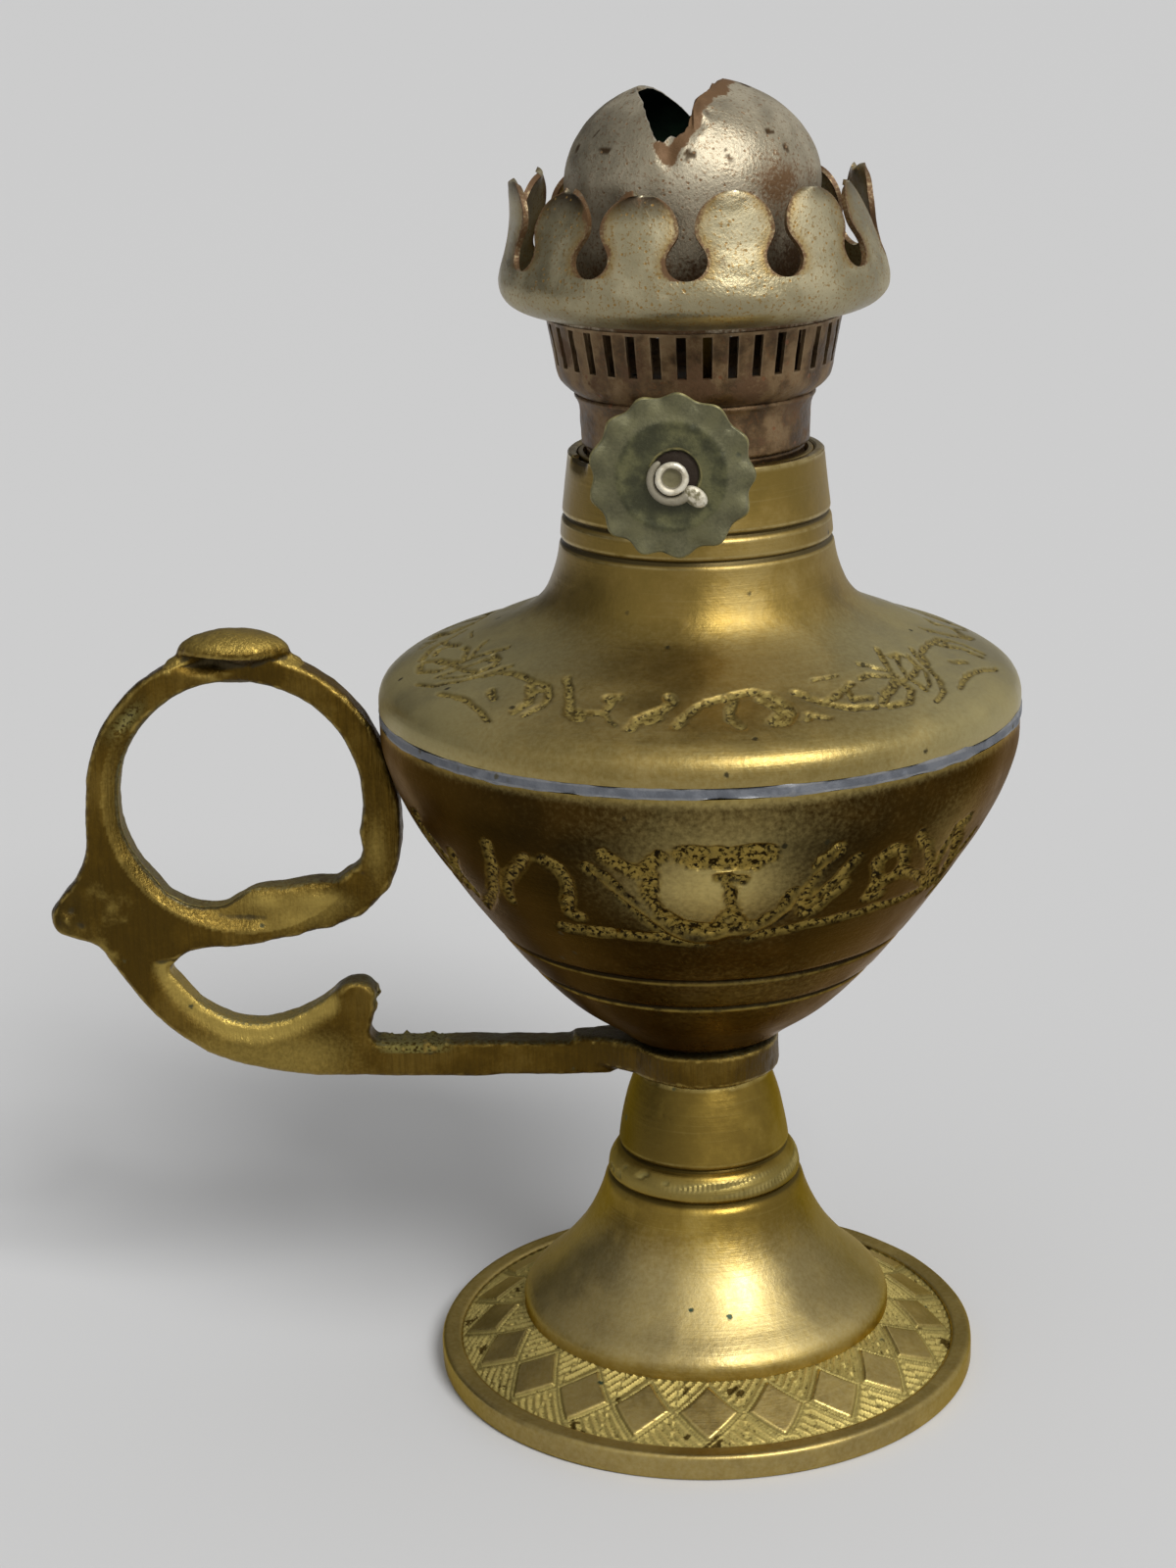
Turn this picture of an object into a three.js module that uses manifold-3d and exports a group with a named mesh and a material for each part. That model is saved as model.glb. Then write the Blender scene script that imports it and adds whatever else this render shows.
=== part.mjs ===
// A small hand-held flat-wick kerosene lamp: turned brass foot, cast finger-ring handle,
// soldered brass font, and a screw-in steel burner with a pronged chimney crown.
// Millimetres, +Z up. The lamp stands on z = 0, and x = 0 is the middle of its overall width.
import * as THREE from 'three';
import { mergeVertices } from 'three/addons/utils/BufferGeometryUtils.js';
import Module from 'manifold-3d';

const wasm = await Module();
wasm.setup();

// Clearances
const seat = 0.02;
const slipFit = 0.1;
const boltFit = 0.25;
const overrun = 2;

// Foot, from the floor up
const footRadius = 29.96;
const footHeight = 35;
const footRimHeight = 2.9;
const footRimWidth = 2.3;
const footRimRound = 0.5;
const footBandDrop = 0.4;
const skirtRadius = 20.5;
const skirtBase = 7.1;
const skirtLip = 0.5;
const lowerGrooveRadius = 10.8;
const lowerGrooveLevel = 22.3;
const upperGrooveRadius = 9.5;
const upperGrooveLevel = 25.7;
const footTopRadius = 7.25;
const footWall = 2.1;
const footWebHeight = 7.5;
const footGrooveDepth = 0.45;
const footGrooveWidth = 0.8;
// Concave flare of the bell skirt, from its lip up to the lower groove: radius, height
const skirtShares = [[1, 0.02], [0.95, 0.09], [0.742, 0.2], [0.526, 0.36], [0.32, 0.53],
  [0.186, 0.68], [0.082, 0.83], [0, 1]];
// Slightly swelled column above the upper groove: radius, height
const columnShares = [[1, 0], [0.82, 0.3], [0.5, 0.64], [0, 1]];
const beadSwellShare = 0.5;

// Stud, nut and washer that clamp foot, handle and bowl together
const studRadius = 2;
const studHeadRadius = 3.8;
const studHeadHeight = 1.6;
const studTail = 1.5;
const nutAcrossFlats = 7;
const nutHeight = 3.2;
const washerRadius = 4.6;
const washerHeight = 0.8;

// Handle casting
const handleDepth = 3.8;
const handleBevel = 0.5;
const eyeRadius = 8.4;
const eyeThickness = 3.6;
const armDrop = 0.9;
const armHeight = 3.95;
const fingerHoleRadius = 13.3;
const fingerRingWidth = 3.35;
const fingerHoleLevel = 66.1;
const ringToBowl = 0.45;
const thumbRestLength = 12.3;
const thumbRestWidth = 7.4;
const thumbRestHeight = 2.1;
const thumbRestRise = 1.7;
const thumbRestShift = 0.5;
const thumbRestLipShare = 0.2;
const thumbRestArc = 72;
// Underside of the finger hole, where the casting swells: shares of the hole's radius
const leafShares = [[-0.64, -0.8], [-0.476, -0.89], [-0.31, -0.91], [-0.19, -0.9], [-0.09, -0.85],
  [0.07, -0.765], [0.3, -0.735], [0.6, -0.69], [0.74, -0.69], [0.85, -0.62], [0.955, -0.53],
  [0.995, -0.41]];
// Outer edge under the ring, from the crotch round to the right: shares of the ring's radius
const ringUnderShares = [[-0.49, -1.12], [-0.44, -1.07], [0.02, -0.99], [0.36, -0.92],
  [0.64, -0.84], [0.83, -0.73], [0.94, -0.6], [1.01, -0.42], [1.04, -0.25], [1.035, -0.02]];
// Knob at the back of the ring: shares of the ring's radius
const knobShares = [[-1.02, -0.1], [-1.04, -0.38], [-1.115, -0.53], [-1.25, -0.69],
  [-1.285, -0.8], [-1.25, -0.885], [-1.16, -0.925], [-0.99, -1]];
// Tail that sweeps from knob to arm, outer edge: shares of the ring's radius, and of the
// height from the arm's underside to the end of the knob
const tailOuterShares = [[-0.9, 0.86], [-0.8, 0.7], [-0.61, 0.44], [-0.36, 0.23], [-0.05, 0.085],
  [0.27, 0.02], [0.67, 0]];
// Tail, inner edge, from the crotch to the thorn: the same shares
const tailInnerShares = [[-0.52, 0.844], [-0.45, 0.68], [-0.24, 0.447], [0.02, 0.355],
  [0.21, 0.384], [0.48, 0.51]];
// Broken thorn on the arm: the same shares
const thornShares = [[0.69, 0.735], [0.79, 0.71], [0.86, 0.6], [0.805, 0.46], [0.775, 0.33]];

// Font: bowl, solder seam and shoulder
const fontRadius = 34;
const fontWall = 1.4;
const bowlBaseRadius = 5.6;
const bowlHeight = 37.2;
const bowlFloor = 1.7;
const solderHeight = 1.1;
const solderWidth = 1.2;
const solderProud = 0.05;
const shoulderHeight = 26.7;
const neckRadius = 13.3;
const neckWall = 0.95;
const fontGrooveDepth = 0.35;
const fontGrooveWidth = 0.8;
// Bowl from its base to the seam: radius, height
const bowlShares = [[0, 0], [0.074, 0.011], [0.176, 0.065], [0.32, 0.145], [0.458, 0.253],
  [0.57, 0.36], [0.676, 0.468], [0.785, 0.589], [0.891, 0.718], [0.968, 0.844], [0.996, 0.925],
  [1, 1]];
const bowlGrooveShares = [0.268, 0.38];
// Shoulder and neck from the seam to the rim: radius, height
const shoulderShares = [[1, 0], [0.998, 0.049], [0.976, 0.094], [0.932, 0.127], [0.855, 0.161],
  [0.734, 0.199], [0.614, 0.232], [0.493, 0.273], [0.372, 0.311], [0.275, 0.345], [0.193, 0.386],
  [0.13, 0.442], [0.092, 0.506], [0.07, 0.56], [0.036, 0.755], [0, 1]];
const neckGrooveShares = [0.655, 0.755];

// Threaded collar in the neck and threaded sleeve of the burner
const collarHeight = 6.2;
const collarWall = 0.75;
const sleeveLength = 6.6;
const sleeveWall = 0.75;
const sleeveFit = 0.15;

// Burner body
const cupLift = 0.6;
const cupHeight = 5.5;
const cupRadius = 11.75;
const cupWaistRadius = 12;
const cupWaistShare = 0.78;
const foldRadius = 12.4;
const burnerWall = 0.5;
const cupLipWidth = 1.4;
const galleryHeight = 7.73;
const galleryRadius = 15.2;
const galleryBulgeRadius = 14.2;
const galleryBulgeHeight = 2.2;
const slotCount = 36;
const slotWidth = 0.95;
const slotHeight = 4.6;
const slotRise = 2.75;
const plateThickness = 0.5;
const plateDrop = 3.6;
const diffuserHoleRadius = 0.65;
const diffuserRings = 2;
const diffuserHoleCount = 6;
const diffuserInnerRadius = 8.3;
const diffuserRingPitch = 2.2;
const ventRadius = 1.1;
const ventBore = 0.7;
const ventLength = 11;
const ventAbovePlate = 6;
const ventOffset = 5.4;

// Wick and its tube
const wickWidth = 11;
const wickThickness = 1.4;
const wickOffset = 0.7;
const wickAboveTube = 1.2;
const wickToStud = 6.7;
const wickFit = 0.25;
const tubeWall = 0.4;
const tubeAboveCup = 27.2;

// Winder: shaft, star wheels, box, bush, thumbwheel and clip
const shaftRadius = 0.75;
const shaftOffset = -2.3;
const shaftAboveCup = 1.5;
const shaftTail = 0.5;
const starSpikes = 8;
const starSpacing = 5;
const starThickness = 0.8;
const starToWick = 0.3;
const starRootShare = 0.66;
const starWindow = 0.3;
const boxLength = 9.2;
const boxReach = 4.6;
const boxHeight = 5.4;
const boxWall = 0.4;
const bushWall = 0.3;
const bushLength = 3.4;
const bushCollarRadius = 1.75;
const bushCollarThickness = 0.6;
const wheelOffset = 26.4;
const wheelRadius = 8.05;
const wheelThickness = 0.6;
const wheelScallops = 13;
const wheelScallopDepth = 0.5;
const wheelRidgeRadius = 5.2;
const wheelRidgeWidth = 0.5;
const wheelRidgeHeight = 0.25;
const clipRadius = 2.15;
const clipBore = 1.1;
const clipThickness = 0.5;
const clipLugRadius = 1.15;
const clipLugReach = 2.9;
const clipLugAngle = -38;
const clipOpening = 150;
const shaftHeadRadius = 1.55;
const shaftHeadHeight = 0.8;

// Crown that holds the chimney, and the domed flame spreader
const crownWall = 0.6;
const crownBore = 13.4;
const crownFloorRadius = 16.2;
const crownRadius = 19.95;
const crownHeight = 13.3;
const crownTipRadius = 17.7;
const prongCount = 12;
const prongTurn = -2;
const dropRadius = 1.95;
const dropLevelShare = 0.53;
const dropNeckWidth = 1.5;
const dropNeckShare = 0.75;
// Dished underside and leaning wall, from the floor's edge to the tips: radius between the
// floor's edge and the widest place, height
const crownDishShares = [[0, 0], [0.4, 0.026], [0.75, 0.08], [0.95, 0.152], [1, 0.23]];
// Wall above the widest place: radius between the tip and the widest place, height
const crownWallShares = [[0.9, 0.33], [0.67, 0.46], [0.4, 0.61], [0.18, 0.75], [0.05, 0.87], [0, 1]];
const domeRadius = 13;
const domeWall = 0.5;
const domeSideHeight = 13.24;
const domeRise = 10.4;
const domeFlangeInset = 0.2;
// Torn slot, front outline: shares of the dome's radius across and of its rise down from the top
const slotFrontShares = [[-0.4, 0.15], [-0.34, -0.08], [-0.25, -0.3], [-0.18, -0.52], [-0.135, -0.66],
  [-0.085, -0.63], [-0.045, -0.5], [-0.015, -0.39], [0, -0.28], [0.08, -0.22], [0.18, -0.12],
  [0.3, -0.06], [0.37, 0.15]];
// Torn slot, back outline: the same shares
const slotBackShares = [[-0.4, 0.15], [-0.33, -0.08], [-0.18, -0.25], [-0.06, -0.41], [-0.015, -0.465],
  [0.01, -0.35], [0.02, -0.27], [0.08, -0.22], [0.18, -0.12], [0.3, -0.06], [0.37, 0.15]];

// Facets
const fontSegments = 28;
const burnerSegments = 24;
const smallSegments = 10;
const airHoleSides = 6;
const roundEndSegments = 5;
const coarseSteps = 3;
const capSteps = 6;
const bulbSteps = 6;
const quarterSteps = 3;

// Levels that follow from the sizes above
const eyeBase = footHeight + seat;
const eyeTop = eyeBase + eyeThickness;
const bowlBase = eyeTop + seat;
const bowlTop = bowlBase + bowlHeight;
const solderBase = bowlTop + seat;
const shoulderBase = solderBase + solderHeight + seat;
const rimLevel = shoulderBase + shoulderHeight;
const cupBase = rimLevel + cupLift;
const cupTop = cupBase + cupHeight;
const galleryBase = cupTop + seat;
const galleryTop = galleryBase + galleryHeight;
const domeBase = galleryTop + seat;
const crownBase = domeBase + domeWall + seat;
const domeSpring = domeBase + domeSideHeight;
const shaftLevel = cupBase + shaftAboveCup;
const plateLevel = cupBase - plateDrop;
const tubeTop = cupBase + tubeAboveCup;
const wickTop = tubeTop + wickAboveTube;
const studHeadBase = bowlBase + bowlFloor + seat;
const studHeadTop = studHeadBase + studHeadHeight;
const wickEnd = studHeadTop + wickToStud;
const holeRadius = studRadius + boltFit;
const neckBore = neckRadius - neckWall;
const collarOuter = neckBore - slipFit;
const collarBore = collarOuter - collarWall;
const sleeveOuter = collarBore - sleeveFit;
const sleeveBore = sleeveOuter - sleeveWall;
const tubeHalfX = wickThickness / 2 + wickFit + tubeWall;
const tubeHalfY = wickWidth / 2 + wickFit + tubeWall;
const tubeFace = wickOffset - tubeHalfX;
const starRadius = wickOffset - wickThickness / 2 - shaftOffset - starToWick;
const bushBore = shaftRadius + slipFit;
const bushOuter = bushBore + bushWall;
const fingerRingRadius = fingerHoleRadius + fingerRingWidth;

// Materials
const finish = (color, roughness, metalness = 1) =>
  new THREE.MeshStandardMaterial({ color, roughness, metalness });
const agedBrass = finish(0x8a6f2e, 0.4);
const paleBrass = finish(0x9b8348, 0.45);
const castBrass = finish(0x80672c, 0.5);
const solder = finish(0x8d8e8a, 0.55);
const rustySteel = finish(0x6b5040, 0.75, 0.6);
const platedSteel = finish(0x9c9a7c, 0.5, 0.8);
const wheelPatina = finish(0x4c5038, 0.6, 0.6);
const brightSteel = finish(0xb9b8ae, 0.35);
const cotton = finish(0xd8cdb4, 0.95, 0);

// Points of a smooth curve through the given places
function smooth(places, divisions) {
  const spline = new THREE.SplineCurve(places.map(([x, y]) => new THREE.Vector2(x, y)));
  return spline.getPoints(divisions).map((point) => [point.x, point.y]);
}

// Angles in radians, spread evenly between two angles in degrees
function sweep(from, to, steps) {
  return Array.from({ length: steps + 1 }, (_, i) =>
    THREE.MathUtils.degToRad(from + ((to - from) * i) / steps));
}

// Places between two radii and two levels, from shares of each
function between(shares, [radiusAt0, radiusAt1], [levelAt0, levelAt1]) {
  return shares.map(([radiusShare, levelShare]) => [
    radiusAt0 + radiusShare * (radiusAt1 - radiusAt0),
    levelAt0 + levelShare * (levelAt1 - levelAt0),
  ]);
}

// The same outline moved inward by a wall, along its own normals
function inset(places, wall) {
  return places.map(([radius, level], i) => {
    const [r0, z0] = places[Math.max(i - 1, 0)];
    const [r1, z1] = places[Math.min(i + 1, places.length - 1)];
    const run = Math.hypot(r1 - r0, z1 - z0);
    return [radius - (wall * (z1 - z0)) / run, level + (wall * (r1 - r0)) / run];
  });
}

// Radius of an outline at a level
function radiusAt(places, level) {
  const i = places.findIndex(([, z], k) => k > 0 && z >= level);
  const [r0, z0] = places[i - 1];
  const [r1, z1] = places[i];
  return r0 + ((r1 - r0) * (level - z0)) / (z1 - z0);
}

// An outline with a turned V groove cut at a level
function grooved(places, level, width, depth) {
  const low = level - width / 2;
  const high = level + width / 2;
  return [
    ...places.filter(([, z]) => z < low),
    [radiusAt(places, low), low],
    [radiusAt(places, level) - depth, level],
    [radiusAt(places, high), high],
    ...places.filter(([, z]) => z > high),
  ];
}

// A piece turned round the Z axis. The outline runs anticlockwise in radius and height.
function turned(places, segments) {
  const onAxis = places[0][0] === 0;
  const closed = onAxis ? places : [...places, places[0]];
  const points = closed.map(([radius, level]) => new THREE.Vector2(radius, level));
  return new THREE.LatheGeometry(points, segments).rotateX(Math.PI / 2);
}

// A straight ring or disc with a bore
function ring(outer, inner, base, height, segments) {
  return turned([[inner, base], [outer, base], [outer, base + height], [inner, base + height]],
    segments);
}

// A piece turned round the winder shaft's axis, which runs along Y
function turnedOnShaft(places, segments = smallSegments) {
  const points = [...places, places[0]].map(([radius, along]) => new THREE.Vector2(radius, along));
  return new THREE.LatheGeometry(points, segments).translate(shaftOffset, 0, shaftLevel);
}

// A flat shape given in X and Z, thickened along Y with its middle at the given Y
function upright(shape, depth, middle, bevel = 0, curveSegments = smallSegments) {
  const settings = { depth: depth - 2 * bevel, bevelEnabled: bevel > 0, bevelThickness: bevel,
    bevelSize: bevel, bevelOffset: -bevel, bevelSegments: 1, curveSegments };
  return new THREE.ExtrudeGeometry(shape, settings)
    .translate(0, 0, -settings.depth / 2)
    .rotateX(Math.PI / 2)
    .translate(0, middle, 0);
}

// A flat shape given in X and Y, thickened upward from a level
function flat(shape, base, height, curveSegments) {
  return new THREE.ExtrudeGeometry(shape, { depth: height, bevelEnabled: false, curveSegments })
    .translate(0, 0, base);
}

// A shape with straight sides through the given places
function polygon(places) {
  return new THREE.Shape(places.map(([x, y]) => new THREE.Vector2(x, y)));
}

// A block given by its middle and its sizes
function block([x, y, z], [width, depth, height]) {
  return new THREE.BoxGeometry(width, depth, height).translate(x, y, z);
}

// A slot outline with round ends: the wick tube's section
function stadium(halfX, halfY, middleX) {
  const shape = new THREE.Shape();
  const straight = halfY - halfX;
  shape.absarc(middleX, straight, halfX, 0, Math.PI, false);
  shape.absarc(middleX, -straight, halfX, Math.PI, 2 * Math.PI, false);
  return shape;
}

// Closed geometry as a solid for cutting and joining
function toSolid(geometry) {
  const bare = geometry.clone();
  bare.deleteAttribute('normal');
  bare.deleteAttribute('uv');
  const merged = mergeVertices(bare);
  const index = [...(merged.index?.array ?? [])];
  const triVerts = [];
  for (let i = 0; i < index.length; i += 3) {
    const [a, b, c] = index.slice(i, i + 3);
    if (a !== b && b !== c && c !== a) triVerts.push(a, b, c);
  }
  const vertProperties = new Float32Array(merged.attributes.position.array);
  const mesh = new wasm.Mesh({ numProp: 3, vertProperties, triVerts: new Uint32Array(triVerts) });
  return new wasm.Manifold(mesh);
}

// A solid's surface as geometry
function toGeometry(solid) {
  const { vertProperties, triVerts } = solid.getMesh();
  const geometry = new THREE.BufferGeometry();
  geometry.setAttribute('position', new THREE.BufferAttribute(new Float32Array(vertProperties), 3));
  geometry.setIndex(new THREE.BufferAttribute(new Uint32Array(triVerts), 1));
  geometry.computeVertexNormals();
  return geometry;
}

const joined = (geometries) => geometries.map(toSolid).reduce((all, next) => all.add(next));
const cut = (geometry, cutters) => toGeometry(toSolid(geometry).subtract(joined(cutters)));

// Foot: rim, sunk band, bell skirt, bead between grooves and column, hollow underneath
function footGeometry() {
  const bandOuter = footRadius - footRimWidth;
  const bandFloor = footRimHeight - footBandDrop;
  const skirt = (divisions) => smooth(between(skirtShares, [lowerGrooveRadius, skirtRadius],
    [skirtBase, lowerGrooveLevel]), divisions);
  const beadRadius = lowerGrooveRadius + (upperGrooveRadius - lowerGrooveRadius) / 2;
  const beadLevel = (lowerGrooveLevel + upperGrooveLevel) / 2;
  const bead = [beadRadius + beadSwellShare * footGrooveDepth, beadLevel];
  const column = smooth(between(columnShares, [footTopRadius, upperGrooveRadius],
    [upperGrooveLevel, footHeight]), 3);
  let outside = [...skirt(5), bead, ...column];
  outside = grooved(outside, lowerGrooveLevel, footGrooveWidth, footGrooveDepth);
  outside = grooved(outside, upperGrooveLevel, footGrooveWidth, footGrooveDepth);
  const webBase = footHeight - footWebHeight;
  const inside = inset([[bandOuter, bandFloor], [skirtRadius, skirtBase - skirtLip],
    ...skirt(coarseSteps), [upperGrooveRadius, upperGrooveLevel], ...column], footWall)
    .filter(([, level]) => level < webBase && level > footRimRound)
    .reverse();
  return turned([
    [bandOuter, 0],
    [footRadius - footRimRound, 0],
    [footRadius, footRimRound],
    [footRadius, footRimHeight - footRimRound],
    [footRadius - footRimRound, footRimHeight],
    [bandOuter + footRimRound, footRimHeight],
    [bandOuter, bandFloor],
    [skirtRadius, skirtBase - skirtLip],
    ...outside,
    [holeRadius, footHeight],
    [holeRadius, webBase],
    [inside[0][0], webBase],
    ...inside,
  ], fontSegments);
}

// Stud with a round head inside the bowl
function studGeometry() {
  const nutBase = footHeight - footWebHeight - washerHeight - nutHeight - 2 * seat;
  return turned([
    [0, nutBase - studTail],
    [studRadius, nutBase - studTail],
    [studRadius, studHeadBase],
    [studHeadRadius, studHeadBase],
    [studHeadRadius, studHeadTop - studHeadHeight / 2],
    [studHeadRadius - studHeadHeight / 2, studHeadTop],
    [0, studHeadTop],
  ], smallSegments);
}

function washerGeometry() {
  const top = footHeight - footWebHeight - seat;
  return ring(washerRadius, holeRadius, top - washerHeight, washerHeight, smallSegments);
}

// Hexagon nut under the washer
function nutGeometry() {
  const top = footHeight - footWebHeight - washerHeight - 2 * seat;
  const cornerRadius = nutAcrossFlats / 2 / Math.cos(Math.PI / 6);
  const shape = polygon(sweep(0, 300, 5)
    .map((angle) => [cornerRadius * Math.cos(angle), cornerRadius * Math.sin(angle)]));
  shape.holes.push(new THREE.Path().absarc(0, 0, holeRadius, 0, 2 * Math.PI, true));
  return flat(shape, top - nutHeight, nutHeight, smallSegments);
}

const bowlOutline = (divisions) => smooth(
  between(bowlShares, [bowlBaseRadius, fontRadius], [bowlBase, bowlTop]), divisions);

// Lower half of the font: a turned shell with two grooves and a hole for the stud
function bowlGeometry() {
  let outside = bowlOutline(10);
  for (const share of bowlGrooveShares) {
    outside = grooved(outside, bowlBase + share * bowlHeight, fontGrooveWidth, fontGrooveDepth);
  }
  const floor = bowlBase + bowlFloor;
  const inside = inset(bowlOutline(6), fontWall)
    .filter(([, z]) => z > floor && z < bowlTop)
    .reverse();
  return turned([
    [holeRadius, bowlBase],
    ...outside,
    [fontRadius - fontWall, bowlTop],
    ...inside,
    [inside.at(-1)[0], floor],
    [holeRadius, floor],
  ], fontSegments);
}

// Solder bead that fills the joint between bowl and shoulder
function solderGeometry() {
  return ring(fontRadius + solderProud, fontRadius - solderWidth, solderBase, solderHeight,
    fontSegments);
}

// Upper half of the font: rounded edge, sloping shoulder, flared neck with two grooves
function shoulderGeometry() {
  const outline = (divisions) => smooth(
    between(shoulderShares, [neckRadius, fontRadius], [shoulderBase, rimLevel]), divisions);
  let outside = outline(12);
  for (const share of neckGrooveShares) {
    const level = shoulderBase + share * shoulderHeight;
    outside = grooved(outside, level, fontGrooveWidth, fontGrooveDepth);
  }
  const collarSeat = rimLevel - collarHeight - seat;
  const inside = inset(outline(7), fontWall)
    .filter(([radius, z]) => z < collarSeat && z > shoulderBase && radius > neckBore)
    .reverse();
  return turned([
    ...outside,
    [neckBore, rimLevel],
    [neckBore, Math.max(collarSeat, inside[0][1])],
    ...inside,
    [fontRadius - fontWall, shoulderBase],
  ], fontSegments);
}

// Middle of the finger ring: beside the bowl, with a small gap at the nearest place
function ringMiddle() {
  const reach = fingerRingRadius + ringToBowl;
  const offsets = bowlOutline(10)
    .filter(([, z]) => Math.abs(z - fingerHoleLevel) < reach)
    .map(([radius, z]) => radius + Math.sqrt(reach ** 2 - (z - fingerHoleLevel) ** 2));
  return -Math.max(...offsets);
}
const ringX = ringMiddle();
const armBase = eyeBase - armDrop;
const knobLevel = fingerHoleLevel + knobShares.at(-1)[1] * fingerRingRadius;

// Places round the finger ring's middle, from shares of a radius
const aroundRing = (shares, radius) =>
  shares.map(([x, z]) => [ringX + x * radius, fingerHoleLevel + z * radius]);
// Places along the tail: shares of the ring's radius across, and of the knob's height over the arm
const alongTail = (shares) => shares.map(([x, z]) =>
  [ringX + x * fingerRingRadius, armBase + z * (knobLevel - armBase)]);

// Handle: eye, arm, broken thorn, tail, knob, finger ring and thumb rest in one casting
function handleGeometry() {
  const arc = (radius, from, to, steps) => sweep(from, to, steps).map((angle) =>
    [ringX + radius * Math.cos(angle), fingerHoleLevel + radius * Math.sin(angle)]);
  const armTop = armBase + armHeight;
  const body = polygon([
    [-eyeRadius / 2, armTop],
    [-eyeRadius / 2, eyeBase],
    [-eyeRadius, eyeBase],
    ...smooth([[-(eyeRadius + handleDepth / 2), armBase], ...alongTail(tailOuterShares).reverse(),
      ...aroundRing(knobShares, fingerRingRadius).reverse()], 24),
    ...arc(fingerRingRadius, 176, 12, 16),
    ...smooth([...aroundRing(ringUnderShares, fingerRingRadius).reverse(),
      ...alongTail(tailInnerShares), ...alongTail(thornShares)], 24),
    [alongTail(thornShares).at(-1)[0], armTop],
  ].reverse());
  const hole = [...arc(fingerHoleRadius, -16, 214, 18),
    ...smooth(aroundRing(leafShares, fingerHoleRadius), 12)];
  body.holes.push(new THREE.Path(hole.map(([x, z]) => new THREE.Vector2(x, z))));
  const eye = turned([[0, eyeBase], [eyeRadius, eyeBase], [eyeRadius, eyeTop], [0, eyeTop]],
    fontSegments);
  const restLevel = fingerHoleLevel + fingerRingRadius + thumbRestRise - thumbRestHeight;
  const rest = turned([[0, -thumbRestLipShare], [1 - thumbRestLipShare, -thumbRestLipShare],
    ...sweep(0, thumbRestArc, coarseSteps).map((angle) => [Math.cos(angle), Math.sin(angle)]), [0, 1]],
  fontSegments / 2)
    .scale(thumbRestLength / 2, thumbRestWidth / 2, thumbRestHeight)
    .translate(ringX + thumbRestShift, 0, restLevel);
  const studHole = turned([[0, eyeBase - overrun], [holeRadius, eyeBase - overrun],
    [holeRadius, eyeTop + overrun], [0, eyeTop + overrun]], smallSegments);
  return toGeometry(joined([upright(body, handleDepth, 0, handleBevel), eye, rest])
    .subtract(toSolid(studHole)));
}

function collarGeometry() {
  return ring(collarOuter, collarBore, rimLevel - collarHeight, collarHeight, fontSegments);
}

function sleeveGeometry() {
  return ring(sleeveOuter, sleeveBore, cupBase - seat - sleeveLength, sleeveLength, fontSegments);
}

// Burner cup: straight wall that flares to the fold, with a lip at each end and a shaft hole
function cupGeometry() {
  const waistLevel = cupBase + cupWaistShare * cupHeight;
  const bulgeLevel = (waistLevel + cupTop) / 2;
  const shell = turned([
    [cupRadius - cupLipWidth, cupBase],
    [cupRadius, cupBase],
    [cupWaistRadius, waistLevel],
    [(cupWaistRadius + foldRadius) / 2, bulgeLevel],
    [foldRadius, cupTop - burnerWall],
    [foldRadius, cupTop],
    [cupWaistRadius - burnerWall, cupTop],
    [cupWaistRadius - burnerWall, waistLevel],
    [cupRadius - burnerWall, cupBase + burnerWall],
    [cupRadius - cupLipWidth, cupBase + burnerWall],
  ], burnerSegments);
  const hole = new THREE.CylinderGeometry(bushOuter + slipFit, bushOuter + slipFit, cupRadius,
    smallSegments).translate(shaftOffset, -cupRadius, shaftLevel);
  return cut(shell, [hole]);
}

// Air gallery: bulge above the fold and a flaring wall with upright slots
function galleryGeometry() {
  const bulgeLevel = galleryBase + galleryBulgeHeight;
  const shell = turned([
    [foldRadius - burnerWall, galleryBase],
    [foldRadius, galleryBase],
    [(foldRadius + 2 * galleryBulgeRadius) / 3, (galleryBase + bulgeLevel) / 2],
    [galleryBulgeRadius, bulgeLevel],
    [galleryRadius, galleryTop],
    [galleryRadius - burnerWall, galleryTop],
    [galleryBulgeRadius - burnerWall, bulgeLevel],
    [(foldRadius + 2 * galleryBulgeRadius) / 3 - burnerWall, (galleryBase + bulgeLevel) / 2],
  ], burnerSegments);
  const reach = galleryRadius - galleryBulgeRadius + 2 * burnerWall + overrun;
  const slots = Array.from({ length: slotCount }, (_, i) =>
    block([galleryRadius, 0, galleryBase + slotRise + slotHeight / 2], [reach, slotWidth, slotHeight])
      .rotateZ(((i + 0.5) * 2 * Math.PI) / slotCount));
  return cut(shell, slots);
}

// Section of the wick tube, widened by a clearance, as a cutter
const tubeCutter = (base, height) =>
  flat(stadium(tubeHalfX + slipFit, tubeHalfY + slipFit, wickOffset), base, height,
    roundEndSegments);

// Floor of the burner with holes for the wick tube and the vent tube
function basePlateGeometry() {
  const disc = turned([[0, plateLevel], [sleeveBore - sleeveFit, plateLevel],
    [sleeveBore - sleeveFit, plateLevel + plateThickness], [0, plateLevel + plateThickness]],
  burnerSegments);
  const ventHole = new THREE.CylinderGeometry(ventRadius + slipFit, ventRadius + slipFit,
    2 * overrun, smallSegments).rotateX(Math.PI / 2).translate(ventOffset, 0, plateLevel);
  return cut(disc, [tubeCutter(plateLevel - overrun, 2 * overrun), ventHole]);
}

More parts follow.
